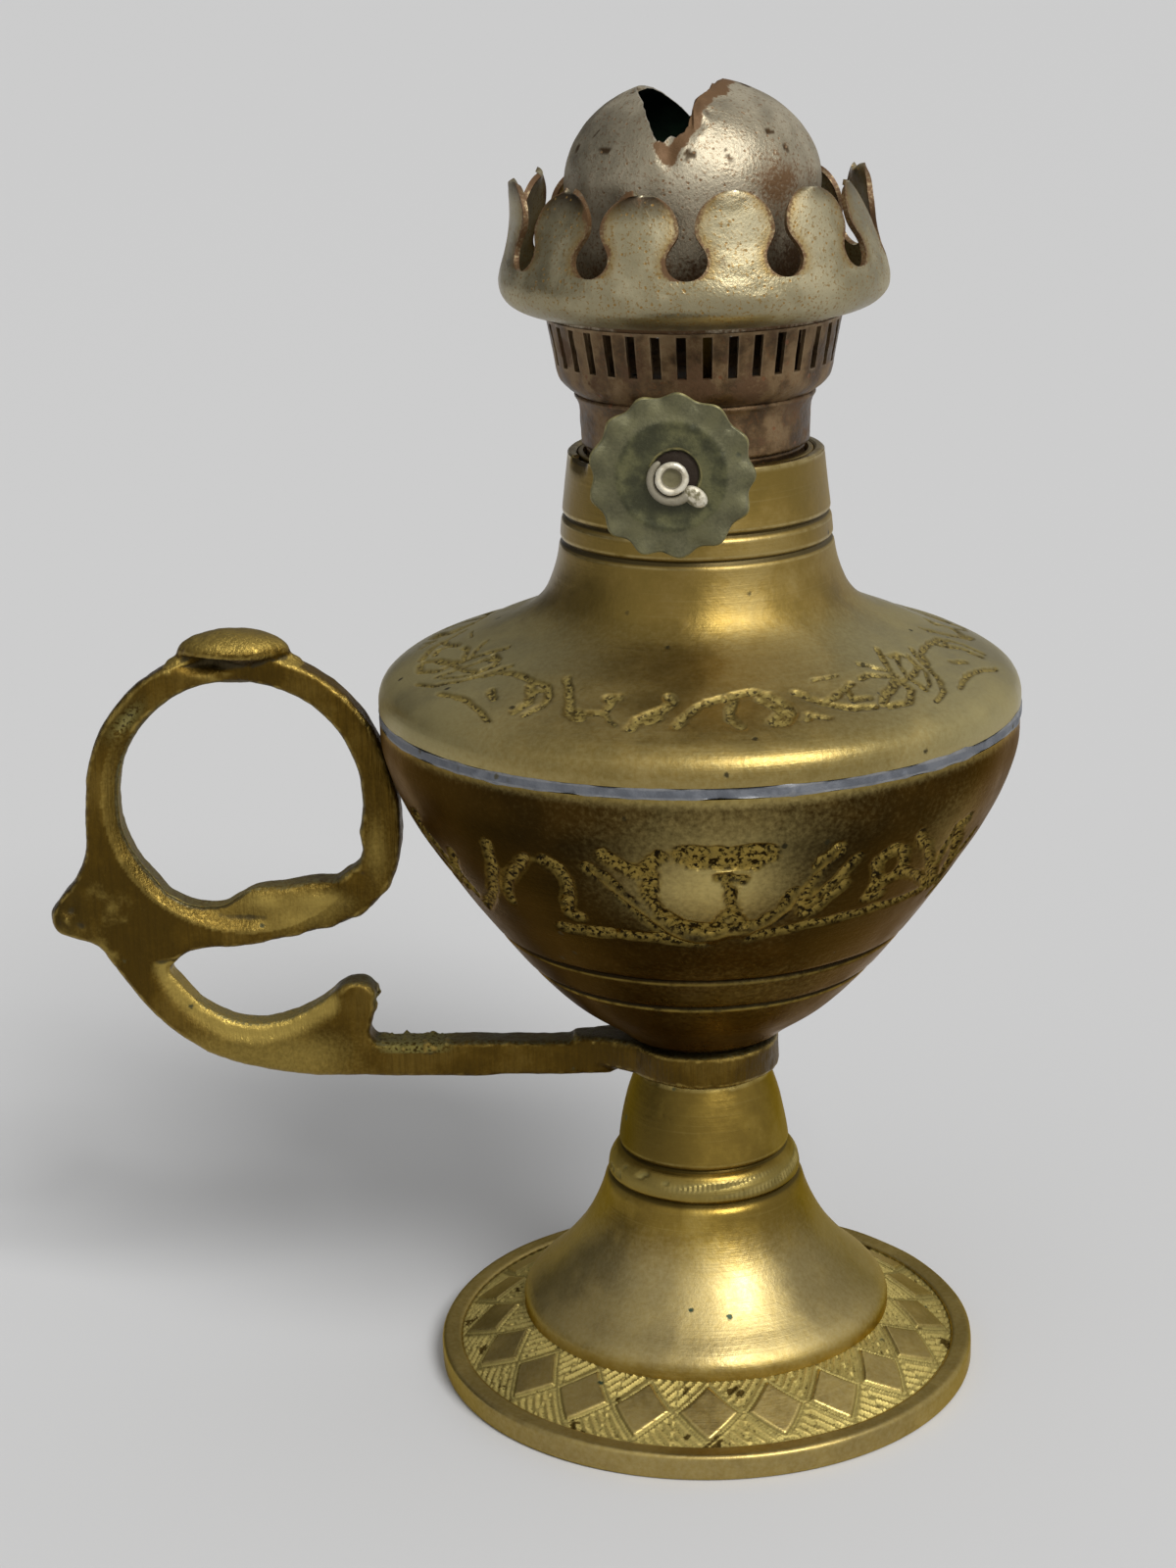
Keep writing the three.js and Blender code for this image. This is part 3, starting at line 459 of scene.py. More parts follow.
@dataclass(frozen=True)
class Workshop:
    """Makes the Blender object of each piece and reports it."""

    edge_reach: float = 0.5

    def mesh(self, name: str, surface: Surface) -> Piece:
        """Put a surface into a mesh object.

        Args:
            name: the piece's name.
            surface: points in millimetres about the lamp's axis.

        Returns:
            The new object, linked to the scene.
        """
        mesh = bpy.data.meshes.new(name)
        faces = [*surface.faces.tolist(), *surface.caps]
        mesh.from_pydata(((surface.points + AXIS) * MM).tolist(), [], faces)
        write_values(mesh, surface.fields)
        mesh.update()
        obj = linked(name, mesh)
        self.weld(obj)
        return obj

    def weld(self, obj: Piece, distance: float = 0.002) -> None:
        """Merge points that share a place, which closes poles and seams."""
        self.apply(obj, "WELD", merge_threshold=distance * MM)

    def apply(self, obj: Piece, kind: str, **settings: object) -> None:
        """Add a modifier and keep its result as the object's mesh.

        Args:
            obj: the object.
            kind: the modifier's type.
            settings: the modifier's values.
        """
        modifier = obj.modifiers.new(kind.lower(), kind)
        for key, value in settings.items():
            setattr(modifier, key, value)
        result = evaluated(obj)
        obj.modifiers.clear()
        old = obj.data
        obj.data = result
        result.name = obj.name
        bpy.data.meshes.remove(old)

    def wall(self, obj: Piece, thickness: float) -> None:
        """Give an open surface a wall on its inner side."""
        self.apply(obj, "SOLIDIFY", thickness=thickness * MM, offset=-1)

    def finish(self, obj: Piece, look: "Finish", body: Body, slot: Slot, *nodes: str,
               sharp: float = 40) -> Piece:
        """Shade a piece, dress it and fix it to its body.

        Args:
            obj: the piece.
            look: its finish.
            body: the body that it rides on.
            slot: the record's slot that it is made of; not used.
            nodes: CAD nodes that it stands for.
            sharp: angle in degrees past which an edge is sharp.

        Returns:
            The same object.
        """
        mesh = obj.data
        mesh.shade_smooth()
        mesh.set_sharp_from_angle(angle=math.radians(sharp))
        mark_edges(mesh, self.edge_reach)
        mesh.materials.clear()
        mesh.materials.append(look.material())
        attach(obj, body.value)
        if nodes:
            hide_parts(*nodes)
        mesh.calc_loop_triangles()
        LOG.info("piece %s: %d triangles on %s", obj.name, len(mesh.loop_triangles), body.value)
        return obj

    def make(self, name: str, surface: Surface, *how: object, sharp: float = 40) -> Piece:
        """Mesh a piece and finish it, where how is what finish takes after the object."""
        return self.finish(self.mesh(name, surface), *how, sharp=sharp)


SHOP = Workshop()


# Finishes


def tint(code: str) -> Colour:
    """Turn a written colour such as 8a6f2e into Blender's linear colour."""
    parts = [int(code[i:i + 2], 16) / 255 for i in (0, 2, 4)]
    light = [c / 12.92 if c <= 0.04045 else ((c + 0.055) / 1.055) ** 2.4 for c in parts]
    return light[0], light[1], light[2], 1.0


class Nodes:
    """Short words for building a node tree."""

    def __init__(self, tree: bpy.types.NodeTree) -> None:
        """Start on an empty tree."""
        self.tree = tree
        tree.nodes.clear()

    def add(self, kind: str, inputs: dict | None = None, **settings: object) -> bpy.types.Node:
        """Add a node.

        Args:
            kind: type name without its ShaderNode start.
            inputs: sockets by name or number, each a value or another socket.
            settings: the node's own values.

        Returns:
            The node.
        """
        prefix = "" if kind.startswith("NodeGroup") else "ShaderNode"
        node = self.tree.nodes.new(prefix + kind)
        for key, value in settings.items():
            setattr(node, key, value)
        for key, value in (inputs or {}).items():
            if isinstance(value, bpy.types.NodeSocket):
                self.tree.links.new(value, node.inputs[key])
            else:
                node.inputs[key].default_value = value
        return node

    def math(self, kind: str, *values: object) -> Socket:
        """Return the output of a Math node with the given values."""
        return self.add("Math", dict(enumerate(values)), operation=kind).outputs[0]

    def times(self, a: object, b: object) -> Socket:
        """Return a times b."""
        return self.math("MULTIPLY", a, b)

    def plus(self, a: object, b: object, share: float = 1) -> Socket:
        """Return a plus a share of b."""
        return self.math("ADD", a, b if share == 1 else self.times(b, share))

    def step(self, value: object, low: float, high: float,
             to: tuple[float, float] = (0, 1)) -> Socket:
        """Return a value that rises smoothly between two limits."""
        return self.add("MapRange", {"Value": value, "From Min": low, "From Max": high,
                                     "To Min": to[0], "To Max": to[1]},
                        interpolation_type="SMOOTHSTEP").outputs[0]

    def mix(self, share: object, a: object, b: object) -> Socket:
        """Return the colour between two others."""
        return self.add("Mix", {0: share, 6: a, 7: b}, data_type="RGBA").outputs[2]

    def uneven(self, value: Socket, grain: Socket, share: float) -> Socket:
        """Return a value broken up by a share of the grain's waves about its middle."""
        return self.plus(value, self.math("SUBTRACT", grain, 0.5), share)

    def noise(self, place: Socket, size: object, detail: float = 3, rough: float = 0.55) -> Socket:
        """Return noise from 0 to 1 whose largest waves are size millimetres wide."""
        fixed = isinstance(size, (int, float))
        scale = 1 / (size * MM) if fixed else self.math("DIVIDE", 1 / MM, size)
        return self.add("TexNoise", {"Vector": place, "Scale": scale, "Detail": detail,
                                     "Roughness": rough}).outputs[0]

    def place(self) -> Socket:
        """Return the place on the object."""
        return self.add("TexCoord").outputs["Object"]

    def value(self, name: str) -> Socket:
        """Return a value that is written on the mesh."""
        return self.add("Attribute", attribute_name=name).outputs["Fac"]

    def output(self, shader: bpy.types.Node, kind: str = "Material") -> None:
        """Send a shader to the tree's end."""
        self.add(f"Output{kind}", {"Surface": shader.outputs[0]})

    def bumpy(self, height: Socket, strength: float, distance: float,
              inputs: dict[str, object]) -> None:
        """End a material in a Principled shader whose surface a height makes uneven.

        Args:
            height: the height, from 0 to 1.
            strength: how strongly it shows.
            distance: the height's size in millimetres.
            inputs: the shader's other sockets.
        """
        bump = self.add("Bump", {"Height": height, "Strength": strength, "Distance": distance * MM})
        self.output(self.add("BsdfPrincipled", {**inputs, "Normal": bump.outputs[0]}))

    def effect(self, name: str, outputs: Sequence[str], build: Callable[..., Sequence[Socket]],
               inputs: dict[str, float]) -> list[Socket]:
        """Place a shared shader node group, which is built on first use.

        Args:
            name: the group's name.
            outputs: its number outputs.
            build: fills the group's tree and returns a socket for each output.
            inputs: its number inputs with their values in this material.

        Returns:
            The placed group's outputs.
        """
        tree = bpy.data.node_groups.get(name)
        if not tree:
            tree = bpy.data.node_groups.new(name, "ShaderNodeTree")
            for side, keys in (("INPUT", inputs), ("OUTPUT", outputs)):
                for key in keys:
                    tree.interface.new_socket(key, in_out=side, socket_type="NodeSocketFloat")
            inner = Nodes(tree)
            made = build(inner, inner.add("NodeGroupInput").outputs)
            inner.add("NodeGroupOutput", dict(zip(outputs, made)))
        node = self.add("Group", inputs, node_tree=tree)
        return [node.outputs[key] for key in outputs]


def tarnish(n: Nodes, given: bpy.types.bpy_prop_collection) -> Sequence[Socket]:
    """Fill the tarnish group: broad blotches, fine grain and small spots."""
    place = n.place()
    broad = n.noise(place, given["Blotch Size"], 5, 0.6)
    grain = n.noise(place, given["Grain Size"], 3, 0.6)
    cells = n.add("TexVoronoi", {"Vector": place,
                                 "Scale": n.math("DIVIDE", 1 / MM, given["Spot Size"])})
    chosen = n.add("SeparateColor", {0: cells.outputs["Color"]}).outputs[0]
    near = n.step(n.plus(cells.outputs["Distance"], grain, 0.35), 0.3, 0.48, (1, 0))
    often = n.math("GREATER_THAN", given["Spot Share"], chosen)
    return n.step(broad, 0.36, 0.64), grain, n.times(near, often)


def turning(n: Nodes, given: bpy.types.bpy_prop_collection) -> Sequence[Socket]:
    """Fill the turning group: fine rings round the lamp's axis, and upright file marks."""
    place = n.place()
    centred = n.add("VectorMath", {0: place, 1: (-AXIS_X * MM, 0, 0)}, operation="ADD").outputs[0]
    x, y, z = n.add("SeparateXYZ", {0: centred}).outputs
    reach = n.math("SQRT", n.plus(n.times(x, x), n.times(y, y)))
    ring = n.add("CombineXYZ", {0: reach, 1: z, 2: n.times(x, given["Break"])})
    marks = n.noise(ring.outputs[0], given["Pitch"], 4, 0.7)
    tall = n.add("VectorMath", {0: place, 1: (1, 1, 0.06)}, operation="MULTIPLY").outputs[0]
    filed = n.noise(tall, n.times(given["Pitch"], 0.7), 4, 0.7)
    return marks, n.step(marks, 0.56, 0.72), n.step(filed, 0.42, 0.66)


def wear(n: Nodes, given: bpy.types.bpy_prop_collection) -> Sequence[Socket]:
    """Fill the wear group: broken-up edges and hollows from the values on the mesh."""
    patchy = n.step(n.noise(n.place(), 1.6, 4, 0.65), 0.25, 0.62)
    rub = n.step(n.value("edge"), given["Edge From"], n.plus(given["Edge From"], 0.6))
    return n.times(rub, patchy), n.step(n.value("hollow"), 0.06, 0.5)


@dataclass(frozen=True)
class Finish:
    """A material that is built on first use."""

    name: str

    def material(self) -> bpy.types.Material:
        """Return the finish's material."""
        made = bpy.data.materials.get(self.name)
        if not made:
            made = bpy.data.materials.new(self.name)
            made.use_nodes = True
            self.build(Nodes(made.node_tree))
        return made

    def build(self, n: Nodes) -> None:
        """Fill the material's nodes, which each kind of finish does in its own way."""
        raise NotImplementedError


@dataclass(frozen=True)
class Metal(Finish):
    """A worn metal finish: its colours, sizes of its marks, and how it shines."""

    base: str
    dark: str
    pale: str
    edge: str
    hollow: str
    spot: str
    carved: str = ""
    stain: str = ""
    tone: str = ""
    rim: str = "ffffff"
    blotch_size: float = 6
    grain_size: float = 0.5
    spot_size: float = 1.4
    spot_share: float = 0.12
    contrast: float = 0.6
    specks: float = 0.38
    flecks: float = 0.0
    dulling: float = 0.5
    edge_from: float = 0.25
    edge_share: float = 0.8
    hollow_share: float = 0.8
    pitch: float = 0.5
    ring_break: float = 0.03
    turning: float = 0.0
    filing: float = 0.0
    bumps: float = 0.2
    rough: float = 0.38
    rough_more: float = 0.2
    metallic: float = 0.85

    def build(self, n: Nodes) -> None:
        """Fill the material's nodes: layers of colour, roughness, metallic and bump.

        Formula: each layer of colour covers those before it by its own share. Grain breaks up
        the shares, so that no layer has a clean border.
        """
        blotch, grain, spots = n.effect(
            "tarnish", ("Blotch", "Grain", "Spots"), tarnish,
            {"Blotch Size": self.blotch_size, "Grain Size": self.grain_size,
             "Spot Size": self.spot_size, "Spot Share": self.spot_share})
        marks, lines, filed = n.effect("turning", ("Marks", "Lines", "Filed"), turning,
                                       {"Pitch": self.pitch, "Break": self.ring_break})
        edge, hollow = n.effect("wear", ("Edge", "Hollow"), wear, {"Edge From": self.edge_from})
        carved = n.value("carved")
        stained = n.value("stain")
        clean = n.step(n.plus(blotch, grain, 0.5), 0.0, 1.1, (1 - self.contrast, 1))
        bright = n.step(n.plus(blotch, grain, 0.6), 0.7, 1.6, (0, self.contrast))
        layers = [(clean, self.base), (bright, self.pale)]
        if self.turning:
            layers.append((n.times(lines, self.turning), self.pale))
        if self.filing:
            layers.append((n.times(filed, self.filing), self.dark))
        if self.flecks:
            layers.append((n.times(n.step(grain, 0.54, 0.66), self.flecks), self.spot))
        # The tone value lays a second colour; on the bowl, the shoulder and the handle it is partly
        # painted highlight and painted reflection.
        if self.tone:
            layers.append((n.step(n.uneven(n.value("tone"), grain, 0.5), 0.02, 1.0), self.tone))
        # The shade value is painted shade: it darkens towards the hollow colour.
        layers += [(n.value("shade"), self.hollow), (n.times(hollow, self.hollow_share), self.hollow)]
        if self.carved:
            patchy = n.step(grain, self.specks, self.specks + 0.14)
            layers += [(n.times(carved, 0.7), self.hollow), (n.times(carved, patchy), self.carved)]
        layers += [(n.times(edge, self.edge_share), self.edge), (spots, self.spot)]
        if self.stain:
            stained = n.step(n.uneven(stained, grain, 1.2), 0.25, 0.8)
            layers.append((stained, self.stain))
        colour = tint(self.dark)
        for share, paint in layers:
            colour = n.mix(share, colour, tint(paint))
        rough = n.plus(self.rough, blotch, self.rough_more)
        rough = n.plus(rough, n.math("MAXIMUM", carved, stained), 0.22)
        dull = n.math("MAXIMUM", n.math("MAXIMUM", spots, hollow), stained)
        metallic = n.times(self.metallic, n.plus(1, dull, -self.dulling))
        height = n.plus(n.times(grain, self.bumps), marks, self.turning)
        height = n.plus(n.plus(height, filed, -self.filing), spots, -0.15)
        n.bumpy(height, 0.5, 0.25, {"Base Color": colour, "Roughness": n.plus(rough, edge, -0.1),
                                    "Metallic": metallic, "Specular Tint": tint(self.rim)})


# Brown brass: its tone colour is the bowl's painted highlight, and its hollow colour also gives the
# bowl's painted shade.
BOWL_BRASS = Metal(
    "brown brass", "3a290b", "251a09", "553e18", "8a7436", "140f05", "2c2816", carved="9a8340",
    stain="1d160a", tone="ccb774", blotch_size=12, spot_share=0.03, turning=0.2, specks=0.41,
    dulling=0.12, rough=0.25, metallic=0.98, rim="f2d8bc")
# Golden brass: its hollow colour also gives the painted shade on the column and skirt.
FOOT_BRASS = Metal(
    "golden brass", "967d38", "6f5927", "ab9553", "c0ab68", "342b12", "2f4033", carved="ac9d5e",
    stain="4a3b16", tone="b5a576", blotch_size=10, spot_share=0.015, turning=0.25, specks=0.24,
    dulling=0.25, rough=0.3, metallic=0.95, rim="e8d49a")
# Pale brass: its tone colour is partly painted reflection at the shoulder's sides.
SHOULDER_BRASS = Metal(
    "pale brass", "8f773c", "72602c", "a3915e", "b6a36e", "332b15", "41391f", carved="9d8b4e",
    stain="5e4c26", tone="b0a474", blotch_size=14, spot_share=0.03, turning=0.2, specks=0.39,
    dulling=0.2, rough=0.33, metallic=0.95)
# Cast brass: its tone colour is partly painted highlight on the handle, and its hollow colour also
# gives the painted shade at the knob.
CAST_BRASS = Metal(
    "cast brass", "5f4814", "3a2b0a", "7c652d", "a08845", "30280f", "4a4526", carved="8d8248",
    stain="696340", tone="aa924a", blotch_size=9, grain_size=0.35, spot_share=0.02, filing=0.3,
    dulling=0.3, bumps=0.35, rough=0.32, metallic=0.93)
SOLDER_GREY = Metal(
    "grey solder", "6d7076", "53565c", "808286", "8c8c8c", "3d3a32", "46412f", blotch_size=3,
    spot_share=0.1, bumps=0.5, rough=0.42, metallic=0.7)
RUST = Metal(
    "rust-brown steel", "6d563a", "37291b", "917a5a", "a08a6a", "241a12", "6f4727", stain="5a4026",
    blotch_size=4, grain_size=0.4, spot_size=1.1, spot_share=0.12, contrast=0.8, flecks=0.35,
    edge_share=0.35, bumps=0.5, rough=0.4, metallic=0.78)
# Worn plating: its hollow colour also gives the painted shade at the prong tips.
CROWN_PLATING = Metal(
    "worn plating", "a3997a", "847a5c", "bdb394", "cdc2a2", "33261a", "86672f", stain="5e4326",
    tone="8d7442", blotch_size=7, grain_size=0.32, spot_size=0.6, spot_share=0.4, contrast=0.55,
    flecks=0.75, bumps=0.3, edge_share=0.4, rough=0.32, metallic=0.88)
DOME_PLATING = Metal(
    "worn grey plating", "aaa089", "8a806a", "c6bda6", "d0c7b4", "4c3a26", "7c6040",
    carved="463520", stain="664b2e", tone="a5917a", blotch_size=7, grain_size=0.34, spot_size=0.6,
    spot_share=0.3, specks=0.0, contrast=0.55, flecks=0.65, bumps=0.55, rough=0.36, metallic=0.88)
# Near-black green for the dome's inner faces: painted shade inside the dome, tinted green.
DARK_GREEN_INSIDE = Metal(
    "dark green inside", "06200f", "020805", "0a2c16", "0a2c16", "020604", "030a06", blotch_size=5,
    rough=0.5, metallic=0.3)
# Green patina: its stain colour is the painted shadow on the hub under the shaft's head.
WHEEL_GREEN = Metal(
    "green patina", "4c4b2f", "2f2f1c", "666340", "a89a5c", "33321f", "45452f", stain="2a1e10",
    tone="6a664a", blotch_size=3, grain_size=0.3, spot_share=0.06, contrast=0.9, flecks=0.35,
    edge_from=0.55, edge_share=0.65, hollow_share=0.3, bumps=0.4, rough=0.42, metallic=0.5)
STEEL = Metal(
    "worn steel", "a9a698", "8a877a", "bfbcae", "d2cfc2", "55504a", "6e604c", stain="625c40",
    blotch_size=2, spot_share=0.08, bumps=0.3, rough=0.32, metallic=0.9)
TIN = Metal(
    "worn tin", "c2b9a2", "9d947c", "d3ccb8", "dcd6c4", "6a6350", "7a6e54", stain="6b6446",
    blotch_size=1.5, grain_size=0.3, spot_share=0.1, bumps=0.4, rough=0.42, metallic=0.5)


# Foot


@dataclass
class Foot:
    """Turned foot: rim, band of raised diamonds, bell skirt, bead and column, with its bolt."""

    rim_radius: float = 29.96
    rim_height: float = 2.9
    band: tuple[float, float] = (20.5, 27.66)
    band_levels: tuple[float, float] = (6.6, 2.5)
    waist: tuple[float, float] = (10.8, 22.3)
    neck: tuple[float, float] = (9.5, 25.7)
    top: tuple[float, float] = (7.25, 35)
    bore: float = 2.25
    web: float = 27.5
    diamonds: int = 21
    diamond_radius: float = 24
    diamond_half: float = 2.95
    diamond_share: float = 0.43
    skirt: tuple = (
        (1, 0.02), (0.985, 0.055), (0.93, 0.105), (0.85, 0.155), (0.742, 0.215), (0.526, 0.36),
        (0.32, 0.53), (0.186, 0.68), (0.082, 0.83), (0, 1))
    column: tuple = ((1, 0), (0.82, 0.3), (0.5, 0.64), (0, 1))

    def ring(self) -> Surface:
        """Return the rim and the diamond band.

        Formula: with u the angle from the nearest diamond's middle in half widths and v the
        radius from the band's middle in half heights, |u| + |v| below 1 is raised; fine ridges
        run where it is a little over 1, and slanted waves fill the triangles between.
        """
        inner, outer = self.band
        high, low = self.band_levels
        rim, top, soft = self.rim_radius, self.rim_height, 0.55
        line = outline_of(
            spaced([(27.3, 0), (29.4, 0)], 0.6), arc((rim - 0.5, 0.5), 0.5, -90, 0, 4),
            spaced([(rim, 0.5), (rim, top - soft)], 0.35),
            arc((rim - soft, top - soft), soft, 0, 90, 5),
            spaced([(rim - soft, top), (28.2, top)], 0.3),
            arc((28.15, 2.4), 0.5, 90, 170, 4), spaced([(outer, low), (inner - 0.2, high)], 0.115),
            spaced([(inner - 0.6, 4.8), (26.4, 0.9)], 0.8), [(26.8, 0.2)])

        def relief(place: Grid, turn: Grid, radius: Grid, level: Grid) -> Looks:
            """Raise diamonds and ridges, hatch the floor and stain it."""
            slope = high + (low - high) * (radius - inner) / (outer - inner)
            on = ramp(level, slope - 0.5, slope - 0.2) * (1 - ramp(radius, outer - 0.1, outer + 0.1))
            pitch = 2 * math.pi / self.diamonds
            side = (turn + math.pi / 2 - 0.009 + pitch / 2) % pitch - pitch / 2
            drift = 0.05 * noise(place, 5, 3)
            u = side / (self.diamond_share * pitch) + drift
            v = (radius - self.diamond_radius) / self.diamond_half + 0.6 * drift
            m = np.abs(u) + np.abs(v)
            diamond = 1 - ramp(m, 0.93, 1.06)
            ridge = bell((m, 1.17, 0.055))
            slant = (np.where(v > 0, 1, -1) * side * self.diamond_radius
                     - (radius - self.diamond_radius))
            hatch = np.sin(slant * 5.6) * (1 - diamond) * ramp(m, 1.2, 1.35)
            body = 0.28 * diamond + 0.17 * ridge + 0.15 * hatch
            body = body - 0.09 * bell((radius - outer, -0.35, 0.22))
            body += (0.03 * noise(place, 0.55, 5, 2) - 0.1) * (1 - diamond)
            dents = 0.05 * noise(place, 7, 8, 2) * ramp(level, 0.1, 1.2)
            floor = on * (1 - diamond) * (1 - 0.6 * ridge)
            green = ramp(noise(place, 2.4, 13, 3), 0.6, 1.0)
            return on * body + dents, floor, floor * (0.42 * (hatch < -0.2) + green)

        whole = turned(line, 640, relief)
        on_top = polar(whole.points)[1] > inner - 0.3
        whole.fields["tone"] = 0.45 * (1 - whole.fields["carved"]) * on_top
        return whole

    def upper(self) -> Surface:
        """Return the skirt, bead and column as one hollow turned shell.

        Formula: the outline is a smooth curve through places, less a bell curve of the level at
        each groove and plus one at the bead; the inside is the same curve moved in by a wall.
        """
        inner = self.band[0]
        skirt = smooth_curve(between(self.skirt, (self.waist[0], inner), (7.1, self.waist[1])), 50)
        bead = spaced([self.waist, self.neck], 0.12)
        column = smooth_curve(between(self.column, (self.top[0], self.neck[0]),
                                      (self.neck[1], self.top[1])), 28)
        outer = outline_of([(inner, 6.5)], skirt, bead, column)
        outer = grooved(grooved(outer, self.waist[1], 0.55), self.neck[1], 0.5)
        outer = grooved(outer, sum((self.waist[1], self.neck[1])) / 2, -0.28, 1.0)
        hollow = inset(outline_of(skirt, column)[::3], 2.1)
        hollow = hollow[(hollow[:, 1] < self.web) & (hollow[:, 1] > 5)][::-1]
        line = outline_of(outer[:-1], [(7.1, 35), (self.bore, 35), (self.bore, self.web),
                                       (hollow[0, 0], self.web)], hollow, [(inner - 1.8, 5)])

        def relief(place: Grid, turn: Grid, radius: Grid, level: Grid) -> Looks:
            """Nick the bead, eat it away at the left and pit the column."""
            dents = 0.045 * noise(place, 6, 4, 3)
            bead = np.exp(-((level - 24) / 1.0) ** 4) * (radius > 9.2)
            right = ramp(np.cos(turn + 0.6), -0.2, 0.6)
            hatch = np.sin(turn * 118 + level * 2) * right
            eaten = ramp(noise(place, 1.1, 9, 2), 0, 0.9) * (1 - right)
            pits = ramp(noise(place, 1.6, 12, 2), 0.75, 1.2) * (level > 26)
            height = dents + bead * (0.07 * hatch - 0.3 * eaten) - 0.1 * pits
            return height, bead * (0.35 + 0.5 * eaten), 0.6 * pits

        shell = turned(line, 240, relief)
        turn, _, level = polar(shell.points)
        # Painted shade: darker on the column's left above the bead, and on the right of the skirt and
        # column.
        left = 0.6 * ramp(-np.cos(turn - 0.5), 0.35, 1) * ramp(level, 24, 26.5)
        right = 0.3 * ramp(np.cos(turn + 0.3), 0.4, 1)
        shell.fields["shade"] = left + right * ramp(level, 8, 12)
        shell.fields["tone"] = 0.6 * ramp(level, 6.5, 9) * (1 - ramp(level, 14, 22))
        return shell

    def bolt(self) -> Surface:
        """Return the stud with thread ridges and its round head in the bowl.

        Formula: a turned bar whose lower end's radius follows a fine sawtooth of the level.
        """
        line = outline_of([(0, 17.6), (1.7, 17.6)], thread(np.linspace(18, 27, 100), 1.9, 0.1, 0.7),
                          [(2, 27.2), (2, 40.36), (3.8, 40.36)],
                          arc((3.0, 41.16), 0.8, 0, 90, 4), [(0, 41.96)])
        return turned(line, 40, closed=False)

    def washer(self) -> Surface:
        """Return the washer: a turned ring with rounded edges."""
        line = outline_of([(self.bore, 26.7), (4.4, 26.7)], arc((4.35, 26.95), 0.25, -90, 0, 3),
                          arc((4.35, 27.22), 0.25, 0, 90, 3), [(self.bore, 27.47)])
        return turned(line, 48)

    def nut(self) -> Surface:
        """Return the nut: a turned ring pressed to a hexagon.

        Formula: at each angle the radius is at most half the flats' width over the cosine of the
        angle from the nearest flat's middle.
        """
        line = outline_of([(self.bore, 23.47), (3.4, 23.47), (4.05, 23.85)],
                          spaced([(4.05, 23.9), (4.05, 26.25)], 0.4),
                          [(3.4, 26.67), (self.bore, 26.67)])
        ring = turned(line, 96)
        turn, reach, _ = polar(ring.points)
        face = 3.5 / np.cos((turn + math.pi / 6) % (math.pi / 3) - math.pi / 6)
        ring.points[:, :2] *= (np.minimum(reach, face) / reach)[:, None]
        return ring

    def build(self) -> None:
        """Make and dress the foot and its bolt."""
        SHOP.make("foot_casting", together(self.ring(), self.upper()), FOOT_BRASS, Body.FONT,
                  Slot.AGED, "foot")
        for name, surface in (("foot_stud_bar", self.bolt()), ("foot_washer_ring", self.washer()),
                              ("foot_nut_hex", self.nut())):
            node = name.rsplit("_", 1)[0]
            SHOP.make(name, surface, STEEL, Body.FONT, Slot.BRIGHT, node, sharp=30)


# Handle


